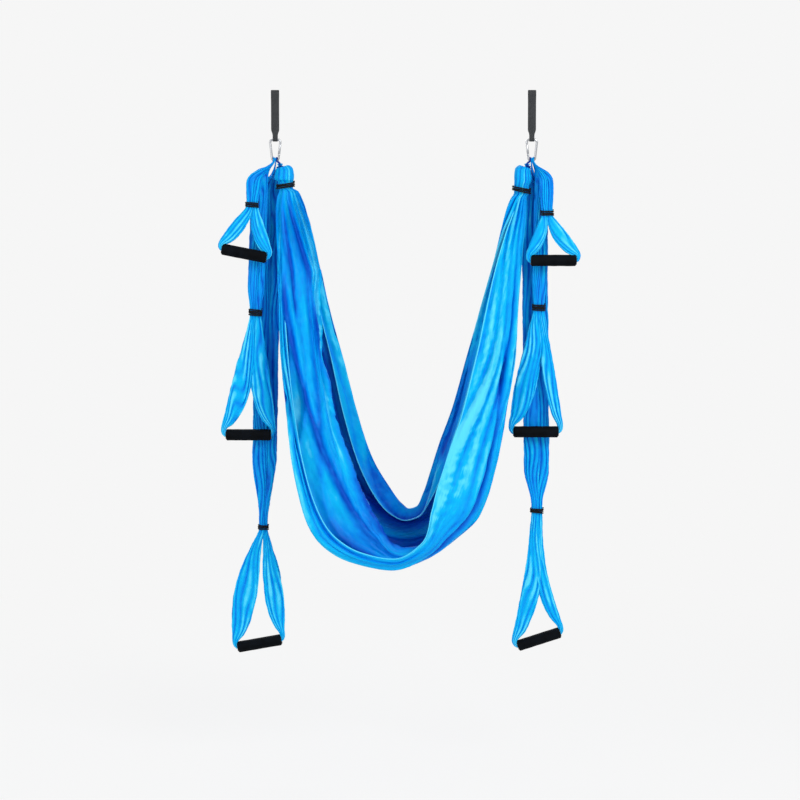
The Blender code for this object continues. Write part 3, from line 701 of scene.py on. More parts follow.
@dataclass(frozen=True)
class SteelFinish:
    """Bright plated wire with fine drawing marks and a little dulling."""

    name: str = "plated_steel"
    colour: tuple[float, float, float, float] = (0.42, 0.43, 0.45, 1.0)

    def build(self) -> Material:
        """Makes the material."""
        paint = Paint(self.name)
        place = paint.place("Object")
        dulling = paint.noise(place, 160.0, 3.0)
        marks = paint.noise(paint.place("Object", (1.0, 1.0, 0.12)), 1500.0, 2.0)
        return paint.dress(
            Base_Color=self.colour,
            Metallic=1.0,
            Roughness=paint.span(dulling, 0.12, 0.30),
            Normal=paint.bump(marks, 0.12, 0.0001),
        )


@dataclass(frozen=True)
class MouldedFinish:
    """Moulded black plastic with a fine spark texture."""

    name: str = "moulded_plastic"
    colour: tuple[float, float, float, float] = (0.012, 0.012, 0.013, 1.0)

    def build(self) -> Material:
        """Makes the material."""
        paint = Paint(self.name)
        grain = paint.noise(paint.place("Object"), 1200.0, 2.0)
        return paint.dress(
            Base_Color=self.colour,
            Roughness=paint.span(grain, 0.35, 0.50),
            Normal=paint.bump(grain, 0.15, 0.0001),
        )


@dataclass(frozen=True)
class Finishes:
    """Every finish of the swing, built once."""

    cloth: Material
    webbing: Material
    band: Material
    elastic: Material
    foam: Material
    steel: Material
    plastic: Material
    thread: Material

    @staticmethod
    def build() -> "Finishes":
        """Makes all the materials."""
        return Finishes(
            cloth=ClothFinish().build(),
            webbing=WovenFinish(
                "grey_webbing", (0.006, 0.007, 0.008), (0.105, 0.110, 0.116), ribs=160.0, picks=210.0
            ).build(),
            band=WovenFinish(
                "navy_band", (0.0, 0.012, 0.19), (0.0, 0.055, 0.42), ribs=300.0, picks=320.0
            ).build(),
            elastic=WovenFinish(
                "black_elastic",
                (0.002, 0.002, 0.003),
                (0.012, 0.013, 0.016),
                ribs=260.0,
                picks=330.0,
                roughness=0.8,
            ).build(),
            foam=FoamFinish().build(),
            steel=SteelFinish().build(),
            plastic=MouldedFinish().build(),
            thread=WovenFinish(
                "sewing_thread",
                (0.02, 0.02, 0.022),
                (0.14, 0.145, 0.15),
                ribs=500.0,
                picks=700.0,
                roughness=0.6,
            ).build(),
        )


def hand_over(piece: Piece, body: str, slot: str, *nodes: str) -> None:
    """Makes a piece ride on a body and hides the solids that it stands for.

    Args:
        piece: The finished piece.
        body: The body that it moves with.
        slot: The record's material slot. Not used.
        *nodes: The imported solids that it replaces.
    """
    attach(piece, body)
    if nodes:
        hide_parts(*nodes)
    LOG.info("%s rides on %s", piece.name, body)


@dataclass(frozen=True)
class Stitching:
    """One sewn bar: a zigzag of thread across the webbing."""

    zigzags: int = 13
    steps: int = 16
    reach: float = 0.84
    rise: float = 0.0011
    sink: float = 0.00025
    proud: float = 0.0001
    thread_radius: float = 0.00035
    sides: int = 6


@dataclass
class HangingStrap:
    """One strap: a sewn ring of webbing with an eye at the top and a narrow loop round the hook."""

    side: Side
    sides: int = 28
    edge_power: float = 0.35
    crease: float = 0.0012
    crease_start: float = 0.03
    crease_fade: float = 0.02
    first_share: float = 0.08
    bend_steps: int = 14
    run_steps: int = 24
    sewn_gap: float = 0.004
    bar_gap: float = 0.008
    stitching: Stitching = Stitching()

    def centreline(self) -> tuple[Array, Array]:
        """Lists the ring's middle as depth and height, and its width at each point.

        The eye and the hold are half circles, and the two layers run side by side between them.

        Returns:
            Points of shape (points, 2) and their widths.
        """
        half = STRAP_THICK / 2
        layer = STRAP_LAYER_GAP / 2 + half
        eye = EYE_RADIUS + half
        hold = WIRE_RADIUS + CLEAR + half
        eye_end = -EYE_RADIUS - EYE_LENGTH
        neck_start = -(STRAP_DROP - STRAP_NECK_LENGTH)
        top = eye * on_circle(np.linspace(0, math.pi, 25)) + [0.0, -EYE_RADIUS]
        share = np.linspace(self.first_share, 1, self.bend_steps)
        narrowed = layer + (eye - layer) * (1 - ease(share))
        narrowing = np.stack([-narrowed, -EYE_RADIUS - share * EYE_LENGTH], 1)
        straight = np.linspace(eye_end - self.sewn_gap, neck_start, self.run_steps)
        run = np.stack([np.full(self.run_steps, -layer), straight], 1)
        flared = layer + (hold - layer) * ease(share / 0.8)
        flare = np.stack([-flared, neck_start - share * (STRAP_NECK_LENGTH - 0.002)], 1)
        under = hold * on_circle(np.linspace(math.pi, 1.5 * math.pi, 13)[1:]) + [0.0, -STRAP_DROP]
        down = np.concatenate([top[13:], narrowing, run, flare, under])
        widths = through(
            np.array([-STRAP_DROP - hold, neck_start - STRAP_NECK_LENGTH * 0.6, neck_start, 0.002]),
            np.array([STRAP_NECK_WIDTH, STRAP_NECK_WIDTH, STRAP_WIDTH, STRAP_WIDTH]),
            down[:, 1],
        )[:, 0]
        return np.concatenate([down, mirrored(down[:-1])]), np.concatenate([widths, widths[:-1][::-1]])

    def build(self, finishes: Finishes) -> None:
        """Builds the webbing, a little hollow across, and its three sewn bars."""
        line, widths = self.centreline()
        along = ring_way(line)
        outward = np.stack([along[:, 1], -along[:, 0]], 1)
        across, thick = blunt(on_circle(all_round(self.sides)), self.edge_power).T
        drop = np.abs(line[:, 1:])
        start, fade = self.crease_start, self.crease_fade
        hollow = ease((drop - start) / fade) * ease((STRAP_DROP - start - drop) / fade)
        cup = -self.crease * hollow * (1 - np.abs(across))
        shift = thick * STRAP_THICK / 2 + cup * np.sign(outward[:, :1])
        x = self.side.value * HALF_SPACING + widths[:, None] / 2 * across
        y = line[:, :1] + outward[:, :1] * shift
        z = line[:, 1:] + outward[:, 1:] * shift
        name = f"webbing_strap_{self.side.label}"
        strap = Shape.surface(name, np.stack([x, y, z], -1), finishes.webbing, (True, True))
        hand_over(strap, "straps", "webbing", f"strap_{self.side.label}")
        self.stitches(finishes)

    def stitches(self, finishes: Finishes) -> None:
        """Sews bars of thread across the webbing below the eye and above the hook's loop."""
        sewn = self.stitching
        below_eye = -EYE_RADIUS - EYE_LENGTH - self.sewn_gap
        above_hook = -(STRAP_DROP - STRAP_NECK_LENGTH) + self.sewn_gap
        steps = sewn.zigzags * sewn.steps
        angle = 2 * math.pi * np.linspace(0, sewn.zigzags, steps)
        across = np.linspace(-sewn.reach, sewn.reach, steps)
        x = self.side.value * HALF_SPACING + across * STRAP_WIDTH / 2
        face = -STRAP_LAYER_GAP / 2 - STRAP_THICK - sewn.proud
        y = face - sewn.sink * np.abs(np.cos(angle)) + self.crease * (1 - np.abs(across))
        for number, height in enumerate((below_eye, below_eye - self.bar_gap, above_hook)):
            path = np.stack([x, y, height + sewn.rise * np.sin(angle)], 1)
            name = f"stitch_{number}_{self.side.label}"
            thread = Shape.tube(name, path, sewn.thread_radius, DEEPWARDS, sewn.sides, finishes.thread)
            hand_over(thread, "straps", "webbing")


@dataclass(frozen=True)
class HookView:
    """The hook's driving places in its front view, with the gate on the positive side."""

    corner: Array
    bow: Array
    angle: float
    rise: Array
    pivot: Array
    nose: Array

    @staticmethod
    def drawn() -> "HookView":
        """Draws the gate's side as the straight line that touches the top corner and the bow."""
        corner = np.array([HOOK_TOP_FLAT / 2, -HOOK_TOP_CORNER])
        bow = np.array([0.0, -(HOOK_HEIGHT - 2 * WIRE_RADIUS - HOOK_BOW_RADIUS)])
        between = corner - bow
        turn = math.acos((HOOK_BOW_RADIUS - HOOK_TOP_CORNER) / np.linalg.norm(between))
        angle = math.atan2(between[1], between[0]) - turn
        normal = np.array([math.cos(angle), math.sin(angle)])
        top = corner + HOOK_TOP_CORNER * normal
        low = bow + HOOK_BOW_RADIUS * normal
        rise = unit(top - low)
        return HookView(corner, bow, angle, rise, low + rise * PIVOT_RISE, top - rise * NOSE_LENGTH)


@dataclass
class SpringHook:
    """One spring hook: bent wire with a forged tongue, a slotted gate and a headed pin."""

    side: Side
    view: HookView = field(default_factory=HookView.drawn)
    sides: int = 24
    wire_steps: int = 150

    def world(self, place: Array, depth: Array | float = 0.0) -> Array:
        """Puts points of the front view in the world, with the gate towards the seat."""
        x = self.side.value * HALF_SPACING - self.side.value * place[..., 0]
        return np.stack([x, np.broadcast_to(depth, x.shape), place[..., 1] - STRAP_DROP], axis=-1)

    def wire(self) -> Array:
        """Lists the wire's middle from the nose, over the top, down the back and round the bow."""
        view = self.view
        first = view.corner + HOOK_TOP_CORNER * on_circle(np.linspace(view.angle, math.pi / 2, 14))
        around = np.linspace(math.pi - view.angle, 2 * math.pi + view.angle, 36)
        bow = view.bow + HOOK_BOW_RADIUS * on_circle(around)
        root = view.pivot - view.rise * PIVOT_SETBACK
        knots = np.concatenate([[view.nose], first, mirrored(first), bow, [root]])
        lengths = chord_lengths(knots)
        even = np.linspace(0, lengths[-1], self.wire_steps)
        return np.stack([np.interp(even, lengths, axis) for axis in knots.T], 1)

    def build(self, finishes: Finishes) -> None:
        """Builds the wire, the tongue, the gate and the pin."""
        label = self.side.label
        path = self.world(self.wire())
        size = np.full(len(path), WIRE_RADIUS)
        size[:2] *= [0.72, 0.93]
        body = Shape.tube(f"spring_hook_{label}", path, size, DEEPWARDS, self.sides, finishes.steel)
        hand_over(body, "swing", "steel", f"hook_{label}")
        pivot = self.world(self.view.pivot)
        rise = self.world(self.view.rise) - self.world(np.zeros(2))
        reach = np.array([-PIVOT_SETBACK - 0.001, -PIVOT_SETBACK + 0.001, 0.0, 0.0022, 0.0028])
        tongue = Shape.tube(
            f"hook_tongue_{label}",
            pivot + reach[:, None] * rise,
            np.array([1.0, 1.0, 1.0, 0.82, 0.45]) * TONGUE_HALF_WIDTH,
            DEEPWARDS,
            20,
            finishes.steel,
            squash=TONGUE_THICK / 2 / TONGUE_HALF_WIDTH,
        )
        hand_over(tongue, "swing", "steel")
        self.gate(finishes, pivot, rise)
        self.pin(finishes, pivot)

    def gate(self, finishes: Finishes, pivot: Array, rise: Array) -> None:
        """Builds the gate: a tube with a domed tip and a slot for the tongue.

        Args:
            finishes: The materials.
            pivot: Where the pin crosses the gate.
            rise: The way up the gate.
        """
        label = self.side.label
        tip = self.world(self.view.nose - self.view.rise * NOSE_GAP)
        length = float(np.linalg.norm(tip - pivot))
        slot_top = TONGUE_HALF_WIDTH * math.sqrt(2) + CLEAR
        reach = np.array(
            [slot_top, slot_top + BEVEL, length * 0.5, length - 3 * BEVEL, length - BEVEL, length]
        )
        size = np.array([0.90, 1.0, 1.0, 1.0, 0.90, 0.70]) * GATE_RADIUS
        path = pivot + reach[:, None] * rise
        tube = Shape.tube(f"gate_tube_{label}", path, size, DEEPWARDS, self.sides, finishes.steel)
        hand_over(tube, f"gate_{label}", "steel", f"gate_{label}")
        across = unit(np.cross(rise, DEEPWARDS))
        start = math.asin((TONGUE_THICK / 2 + CLEAR) / GATE_RADIUS)
        outline = GATE_RADIUS * on_circle(np.linspace(start, math.pi - start, 13))
        levels = np.array([-GATE_TAIL, -GATE_TAIL + 0.0008, 0.0, slot_top + 0.0002])[:, None, None]
        taper = np.array([0.72, 1.0, 1.0, 1.0])[:, None, None]
        for number, way in enumerate((-1, 1)):
            flat = pivot + levels * rise + taper * outline[:, :1] * across
            points = flat + way * outline[:, 1:] * DEEPWARDS
            name = f"gate_ear_{number}_{label}"
            ear = Shape.surface(name, points, finishes.steel, (False, True), caps=True)
            hand_over(ear, f"gate_{label}", "steel")

    def pin(self, finishes: Finishes, pivot: Array) -> None:
        """Builds the gate's pin with a rounded head at each end."""
        half = PIN_LENGTH / 2
        head = np.array(
            [
                (-half - PIN_HEAD, BEVEL),
                (-half - PIN_HEAD * 0.6, PIN_RADIUS * 1.25),
                (-half, PIN_RADIUS * 1.6),
                (-half + SHARP, PIN_RADIUS),
            ]
        )
        profile = np.concatenate([head, mirrored(head)])
        ring = np.insert(on_circle(all_round(20)), 1, 0.0, axis=1)
        points = pivot + profile[:, :1, None] * DEEPWARDS + profile[:, 1:, None] * ring
        label = self.side.label
        pin = Shape.surface(f"gate_rivet_{label}", points, finishes.steel, (False, True), caps=True)
        hand_over(pin, "swing", "steel", f"gate_pin_{label}")


@dataclass
class WoundTie:
    """A covered elastic cord wound round gathered cloth."""

    name: str
    body: str
    node: str
    centre: Array
    half_x: float
    half_y: float
    turns: int
    seed: int
    tilt: float = 0.0
    squareness: float = TIE_SQUARENESS

    def build(self, finishes: Finishes) -> None:
        """Winds the cord: each turn is a rounded oval, one pitch below the last, with a little slack."""
        turn = np.linspace(0, self.turns, self.turns * 40 + 1)
        slack = 1 + 0.030 * ripple(turn * 1.3, turn * 0.2, self.seed)
        oval = blunt(on_circle(2 * math.pi * turn), 2 / self.squareness)
        x = oval[:, 0] * self.half_x * slack
        y = oval[:, 1] * self.half_y * slack
        z = TIE_PITCH * (self.turns / 2 - turn) + self.tilt * x
        z = z + 0.0007 * ripple(turn * 1.7, turn * 0.4, self.seed + 1)
        path = self.centre + np.stack([x, y, z], 1)
        size = np.full(len(path), TIE_CORD_RADIUS * 0.98)
        size[[0, -1]] *= 0.55
        cord = Shape.tube(self.name, path, size, UPWARDS, 12, finishes.elastic)
        hand_over(cord, self.body, "elastic", self.node)


@dataclass(frozen=True)
class SlingSizes:
    """One hand sling's sizes, measured from the hook's bow."""

    name: str
    slot: float
    fan_out: float
    depth: float
    tie_out: float
    tie_drop: float
    grip_out: float
    grip_drop: float
    tilt: float
    tie_half: float
    turns: int
    run_half: float
    pinch: float
    bows: tuple[float, float]
    fulls: tuple[float, float]
    spread: float


# The first line of each entry follows the fields from name to turns, and the second one names the others
SLINGS = {
    Side.LEFT: (
        SlingSizes(
            "short", 1.6, 0.061, -0.042, 0.0675, 0.128, 0.0915, 0.273, 11, 0.0080, 3,
            run_half=0.0105, pinch=0.040, bows=(0.0, 0.0), fulls=(0.020, 0.020), spread=0.056,
        ),
        SlingSizes(
            "medium", 0.5, 0.046, 0.0, 0.0615, 0.450, 0.0845, 0.819, 0, 0.0080, 4,
            run_half=0.0120, pinch=0.060, bows=(0.0, 0.0), fulls=(0.029, 0.029), spread=0.046,
        ),
        SlingSizes(
            "long", -0.5, 0.020, 0.039, 0.0435, 1.104, 0.0570, 1.462, -10, 0.0060, 3,
            run_half=0.0180, pinch=0.210, bows=(0.027, 0.013), fulls=(0.034, 0.028), spread=0.085,
        ),
    ),
    Side.RIGHT: (
        SlingSizes(
            "short", 1.6, 0.041, -0.042, 0.0435, 0.153, 0.0640, 0.294, 0, 0.0080, 3,
            run_half=0.0105, pinch=0.045, bows=(0.0, 0.0), fulls=(0.021, 0.018), spread=0.056,
        ),
        SlingSizes(
            "medium", 0.5, 0.031, 0.0, 0.0235, 0.435, 0.0165, 0.810, 0, 0.0080, 4,
            run_half=0.0105, pinch=0.060, bows=(0.0, 0.004), fulls=(0.018, 0.031), spread=0.050,
        ),
        SlingSizes(
            "long", -0.5, 0.0105, 0.039, 0.0230, 1.053, 0.0315, 1.449, 18, 0.0080, 3,
            run_half=0.0190, pinch=0.120, bows=(-0.020, -0.010), fulls=(0.019, 0.026), spread=0.085,
        ),
    ),
}

# A leg from its tie to its elbow: share of the way, how full it is and its thickness as a share of a strand's
LEG_RUN = (
    (0.00, 0.00, 0.78),
    (0.12, 0.24, 0.90),
    (0.26, 0.60, 1.00),
    (0.42, 0.90, 1.05),
    (0.60, 1.00, 1.05),
    (0.78, 0.84, 1.00),
    (0.90, 0.50, 1.00),
)

# Fine ripples of the slings' cloth: step of the seed, size, and how fast they run across and along
SLING_CRINKLES = ((2, 0.10, 8, 26), (3, 0.07, 17, 62))


@dataclass
class HandSling:
    """One sling: an endless strip of cloth over the bow, gathered by its tie, through its grip."""

    side: Side
    sizes: SlingSizes
    seed: int
    folds: float = 9.0
    columns: int = 90
    step: float = 0.0068
    cloth_thick: float = 0.0005
    cloth_width: float = 0.100
    overlap: float = 0.66
    lean: float = 0.0035
    run_depth: float = 0.88
    tied_depth: float = 0.10
    settle_drop: float = 0.022
    turn_start: float = 0.3
    tied_lean: float = 0.45
    bulge: float = 0.85
    drift: float = 0.85
    wrap: float = 1.015
    # How far pleat crests are painted lighter and valleys darker
    pleat_painted_shading: float = 0.40
    foam_sides: int = 48
    foam_wear: float = 0.00025
    core_sides: int = 40
    # Painted shade on the runs and painted light on the legs
    run_tone: float = 0.26
    leg_tone: float = 0.50

    @property
    def reach(self) -> float:
        """How far the gathered cloth runs straight above and below the middle of its tie."""
        return self.sizes.turns * TIE_PITCH / 2 + TIE_CORD_RADIUS + TIE_MARGIN

    @property
    def body(self) -> str:
        """The body that the sling moves with."""
        return f"sling_{self.sizes.name}_{self.side.label}"

    @property
    def fuller(self) -> float:
        """How much wider a strand is than half the pair, because the two strands overlap."""
        return 2 / (1 + self.overlap)

    def bundle(self, drop: Array) -> tuple[Array, Array]:
        """Gives the middle of the two strands at each drop, as out and depth."""
        sizes = self.sizes
        slot = sizes.slot * SLOT_PITCH
        straight = sizes.tie_drop - self.reach
        fanned = min(sizes.spread, straight)
        late = np.clip((drop - fanned) / max(straight - fanned, CLEAR), 0, 1)
        out = slot + (sizes.fan_out - slot) * ease(drop / fanned) + (sizes.tie_out - sizes.fan_out) * late
        return out, sizes.depth * ease(drop / min(FAN_DEPTH, sizes.spread))

    def strand(self, which: int) -> Array:
        """Lists stations down one strand, from the bow to just below the tie.

        Args:
            which: 1 for the first strand, -1 for the second.

        Returns:
            Rows of a point, the thin side's direction, the half width and the half thickness.
        """
        sizes = self.sizes
        low = sizes.tie_drop
        drop = np.arange(0.0, low + self.reach, self.step)
        grow = ease(drop / sizes.spread)
        gathered = ease(1 - (low - self.reach - drop) / sizes.pinch)
        half = LOOP_HALF_DEPTH + (sizes.run_half - LOOP_HALF_DEPTH) * grow
        half = half + (sizes.tie_half - half) * gathered
        deep = LOOP_HALF_WIDTH + (STRAND_DEPTH * self.run_depth - LOOP_HALF_WIDTH) * grow
        deep = deep - self.tied_depth * STRAND_DEPTH * gathered
        turned = min(sizes.spread, low - self.reach - SETTLE_LENGTH)
        start = turned * self.turn_start
        turn = math.pi / 2 * ease((drop - start) / (turned - start))
        slot = sizes.slot * SLOT_PITCH
        first = loop_radius(slot)
        settled = ease(drop / self.settle_drop)
        half = half * (1 + (self.fuller - 1) * settled)
        apart = first + (self.overlap * half - first) * settled
        leant = self.lean * np.sin(turn) * (1 - (1 - self.tied_lean) * gathered)
        out, depth = self.bundle(drop)
        centre = outboard(self.side, out, depth, drop - bow_rise(slot) * (1 - settled))
        side = self.side.value
        pair = np.stack([side * np.sin(turn), -np.cos(turn), np.zeros_like(turn)], 1)
        thin = np.stack([np.cos(turn), side * np.sin(turn), np.zeros_like(turn)], 1)
        centre = centre + which * (apart[:, None] * pair + leant[:, None] * thin)
        return np.column_stack([centre, thin, half, deep])

    def leg(self, which: int) -> Array:
        """Lists stations from below the tie down one leg, round its corner and into the grip's bore.

        Args:
            which: 1 for the leg away from the seat, -1 for the other.

        Returns:
            Rows as strand gives them.
        """
        sizes = self.sizes
        side = self.side.value
        axis = self.axis() * which
        middle = self.grip_centre()
        fit = CORE_RADIUS - CORE_WALL - CLEAR
        out, depth = self.bundle(np.array([sizes.tie_drop]))
        tied = sizes.tie_half * self.fuller
        top = outboard(self.side, out[0], depth[0], sizes.tie_drop + self.reach)
        top += which * side * np.array([self.overlap * tied, self.tied_lean * self.lean, 0.0])
        end = middle + axis * (GRIP_LENGTH / 2 + CORE_PROUD)
        lift = np.cross(DEEPWARDS, axis)
        lift = lift * np.sign(lift[2])
        elbow, bend = (end + CORNER_REACH * (far * axis + up * lift) for far, up in (ELBOW, BEND))
        shares, fullness, thickness = np.array(LEG_RUN).T
        run = top + (elbow - top) * shares[:, None]
        bow, full = (pair[0 if which > 0 else 1] for pair in (sizes.bows, sizes.fulls))
        pinched = CORNER_REACH * CORNER_PINCH
        half = tied + (full - tied) * fullness
        straight = tied + (pinched - tied) * shares
        run[:, 0] += side * which * (bow * np.sin(math.pi * shares) - self.bulge * (half - straight))
        knots = np.concatenate([run, [elbow, bend, end + axis * CORE_PROUD, end - axis * 0.008, middle]])
        bore = fit * np.array(BORE_FILL)
        halves = np.concatenate([half, [pinched, pinched], bore])
        deeps = np.concatenate([STRAND_DEPTH * thickness, [STRAND_DEPTH, STRAND_DEPTH], bore])
        lengths = chord_lengths(knots)
        at = np.arange(self.step * 0.5, lengths[-1], self.step)
        read = through(lengths, np.column_stack([knots, halves, deeps]), at)
        thin = np.broadcast_to(side * DEEPWARDS, (len(at), 3))
        return np.column_stack([read[:, :3], thin, read[:, 3:]])

    def axis(self) -> Array:
        """Gives the direction of the grip's axis, pointing away from the seat."""
        tilt = math.radians(self.sizes.tilt)
        return np.array([self.side.value * math.cos(tilt), 0.0, math.sin(tilt)])

    def grip_centre(self) -> Array:
        """Gives the middle of the grip."""
        sizes = self.sizes
        return outboard(self.side, sizes.grip_out, sizes.depth, sizes.grip_drop)

    def over_bow(self) -> Array:
        """Lists stations of the loop over the bow's wire, from the back to the front."""
        turn = np.linspace(0, math.pi, 15)[1:-1]
        centre = over_wire(self.side, self.sizes.slot * SLOT_PITCH, turn)
        thin = np.broadcast_to([1.0, 0.0, 0.0], (len(turn), 3))
        sizes = np.broadcast_to([LOOP_HALF_DEPTH, LOOP_HALF_WIDTH], (len(turn), 2))
        return np.column_stack([centre, thin, sizes])

    def stations(self) -> Array:
        """Lists the whole loop's stations, corners rounded, with painted shade: the legs painted lighter."""
        parts = (
            (self.strand(1), self.run_tone),
            (self.leg(1), self.leg_tone),
            (self.leg(-1)[::-1], self.leg_tone),
            (self.strand(-1)[::-1], self.run_tone),
            (self.over_bow(), self.run_tone),
        )
        rows = np.concatenate([np.column_stack([part, np.full(len(part), tone)]) for part, tone in parts])
        return averaged(rows, 3)

    def build(self, finishes: Finishes) -> None:
        """Carries a gathered strip round the loop, then adds its tie and grip.

        The strip wraps round an oval with its edges at the back. Pleats that drift along the cloth push it
        out along the oval's normal.
        """
        rows = self.stations()
        centre, thin, half, deep = rows[:, :3], unit(rows[:, 3:6]), rows[:, 6:7], rows[:, 7:8]
        along = ring_way(centre)
        wide = unit(np.cross(along, thin))
        thin = np.cross(wide, along)
        travel = chord_lengths(centre)[:, None]
        total = float(travel[-1, 0])
        share = np.linspace(0, 1, self.columns)
        loop = 2 * math.pi * travel / total
        loop_x, loop_y = np.cos(loop) * total, np.sin(loop) * total
        drift = self.drift * ripple(0.7 * loop_x + 0.4 * share, 0.7 * loop_y + 1.7 * share, self.seed)
        pleat = pleat_wave(self.folds * share + drift)
        patches = ripple(0.9 * loop_x + 3 * share, 0.9 * loop_y + 2 * share, self.seed + 1)
        pleat_size = pleat * np.clip(0.70 + 0.42 * patches, 0.15, 1.25)
        crinkle = crinkles(share, travel, self.seed, SLING_CRINKLES)
        push = (0.24 * deep + 0.055 * half) * (pleat_size - 0.35) + deep * crinkle
        angle = self.side.value * math.pi / 2 + 2 * math.pi * self.wrap * share
        normal = unit(np.stack([np.cos(angle) / half, np.sin(angle) / deep], -1))
        across = half * np.cos(angle) + push * normal[..., 0]
        outward = deep * np.sin(angle) + push * normal[..., 1]
        points = centre[:, None] + across[..., None] * wide[:, None] + outward[..., None] * thin[:, None]
        # Painted shading: runs darker, legs lighter, pleat crests lighter than their valleys
        tone = np.clip(rows[:, 8:9] + self.pleat_painted_shading * pleat_size, 0, 0.9)
        flat = (self.cloth_width, total)
        label = f"{self.sizes.name}_{self.side.label}"
        name = f"sling_cloth_{label}"
        strip = Shape.surface(name, points, finishes.cloth, (True, False), tone=tone, flat=flat)
        Shape.thicken(strip, self.cloth_thick)
        hand_over(strip, self.body, "cloth", f"sling_{label}")
        self.tie(finishes, label)
        self.grip(finishes, label)

    def tie(self, finishes: Finishes, label: str) -> None:
        """Winds the tie that gathers the sling above its grip."""
        sizes = self.sizes
        out, depth = self.bundle(np.array([sizes.tie_drop]))
        cord = CLEAR + TIE_CORD_RADIUS
        WoundTie(
            name=f"elastic_tie_{label}",
            body=self.body,
            node=f"tie_{label}",
            centre=outboard(self.side, out[0], depth[0], sizes.tie_drop),
            half_x=2 * sizes.tie_half + STRAND_GAP / 2 + cord,
            half_y=STRAND_DEPTH * TIE_EASE + cord,
            turns=sizes.turns,
            seed=self.seed + 5,
            tilt=0.04 * math.sin(self.seed),
        ).build(finishes)

    def grip(self, finishes: Finishes, label: str) -> None:
        """Builds the foam sleeve with rounded ends, then the core inside it."""
        half = GRIP_LENGTH / 2
        hole = CORE_RADIUS + CLEAR
        rounded = FOAM_ROUND * on_circle(np.linspace(0, math.pi / 2, 8)) * [-1, 1]
        low_end = rounded + [-(half - FOAM_ROUND), FOAM_RADIUS - FOAM_ROUND]
        middle = np.stack([np.linspace(-half + 0.006, half - 0.006, 40), np.full(40, FOAM_RADIUS)], 1)
        outer = np.concatenate([low_end, middle, mirrored(low_end)])
        profile = np.concatenate([[[-half, hole]], outer, [[half, hole]]])
        turn = all_round(self.foam_sides)
        worn = self.foam_wear * ripple(profile[:, :1] * 28, np.cos(turn), self.seed + 9)
        worn[[0, -1]] = 0.0
        name = f"foam_sleeve_{label}"
        centre, axis = self.grip_centre(), self.axis()
        foam = Shape.lathe(name, profile, centre, axis, self.foam_sides, finishes.foam, wobble=worn)
        hand_over(foam, f"grip_{label}", "foam", f"grip_foam_{label}")
        self.core(finishes, label)

    def core(self, finishes: Finishes, label: str) -> None:
        """Builds the grip's hard tube with a lip at each end."""
        bore = CORE_RADIUS - CORE_WALL
        lip = GRIP_LENGTH / 2 + CLEAR
        end = lip + CORE_PROUD
        right = np.array(
            [
                (lip - SHARP, CORE_RADIUS),
                (lip, CORE_RADIUS + CORE_LIP - BEVEL),
                (lip + BEVEL, CORE_RADIUS + CORE_LIP),
                (end - BEVEL, CORE_RADIUS + CORE_LIP),
                (end, CORE_RADIUS + CORE_LIP - BEVEL),
                (end, bore + BEVEL),
                (end - BEVEL, bore),
            ]
        )
        outline = np.concatenate([right, mirrored(right)])
        name = f"grip_tube_{label}"
        centre, axis = self.grip_centre(), self.axis()
        core = Shape.lathe(name, outline, centre, axis, self.core_sides, finishes.plastic)
        hand_over(core, f"grip_{label}", "plastic", f"grip_core_{label}")


# The seat's outline: outer and inner edge as shares of half the spacing and of the seat's fall, the share of
# the full depth, how far it is still a bundle, and how far up the section the near hem and the crest stand
SEAT_ROWS = (
    ((-0.968, 0.014), (-0.828, 0.014), 0.145, 0.97, 0.12, 0.84),
    ((-0.985, 0.034), (-0.797, 0.034), 0.155, 0.93, 0.12, 0.84),
    ((-0.992, 0.076), (-0.755, 0.076), 0.17, 0.82, 0.12, 0.84),
    ((-0.985, 0.175), (-0.677, 0.175), 0.24, 0.44, 0.12, 0.80),
    ((-0.975, 0.300), (-0.590, 0.310), 0.36, 0.10, 0.12, 0.72),
    ((-0.957, 0.440), (-0.466, 0.468), 0.48, 0.00, 0.12, 0.64),
    ((-0.912, 0.589), (-0.360, 0.609), 0.60, 0.00, 0.12, 0.65),
    ((-0.846, 0.740), (-0.236, 0.728), 0.74, 0.00, 0.14, 0.70),
    ((-0.706, 0.893), (-0.106, 0.803), 0.88, 0.00, 0.19, 0.69),
    ((-0.425, 0.962), (-0.020, 0.845), 0.97, 0.00, 0.22, 0.60),
    ((-0.091, 0.984), (0.043, 0.861), 1.00, 0.00, 0.26, 0.34),
    ((0.180, 0.958), (0.106, 0.855), 0.98, 0.00, 0.46, 0.22),
    ((0.405, 0.908), (0.165, 0.812), 0.90, 0.00, 0.78, 0.16),
    ((0.590, 0.850), (0.215, 0.758), 0.80, 0.00, 0.86, 0.14),
    ((0.718, 0.727), (0.284, 0.682), 0.66, 0.00, 0.85, 0.16),
    ((0.797, 0.589), (0.394, 0.578), 0.54, 0.00, 0.83, 0.18),
    ((0.866, 0.445), (0.500, 0.445), 0.42, 0.06, 0.83, 0.22),
    ((0.898, 0.302), (0.618, 0.302), 0.31, 0.22, 0.90, 0.30),
    ((0.930, 0.167), (0.728, 0.167), 0.22, 0.50, 1.00, 0.40),
    ((0.958, 0.076), (0.795, 0.076), 0.17, 0.82, 1.00, 0.50),
    ((0.962, 0.034), (0.838, 0.034), 0.15, 0.95, 1.00, 0.50),
)

# The cloth's layers where it is open, from the near hem to the far one: shares of the hem's height, the
# crest's height and the whole height above the outer edge, and the share of the depth
SEAT_LAYERS = (
    (1.00, 0.00, 0.00, -1.00),
    (0.52, 0.00, 0.00, -1.03),
    (0.15, 0.00, 0.00, -0.90),
    (0.00, 0.00, 0.00, -0.66),
    (0.00, 0.42, 0.00, -0.72),
    (0.00, 0.85, 0.00, -0.66),
    (0.00, 1.00, 0.00, -0.50),
    (0.00, 0.58, 0.00, -0.20),
    (0.00, 0.00, 0.05, 0.10),
    (0.00, 0.00, 0.13, 0.45),
    (0.00, 0.00, 0.38, 0.74),
    (0.00, 0.00, 0.70, 0.86),
    (0.00, 0.00, 1.00, 0.90),
    (0.00, 0.00, 0.80, 0.52),
)

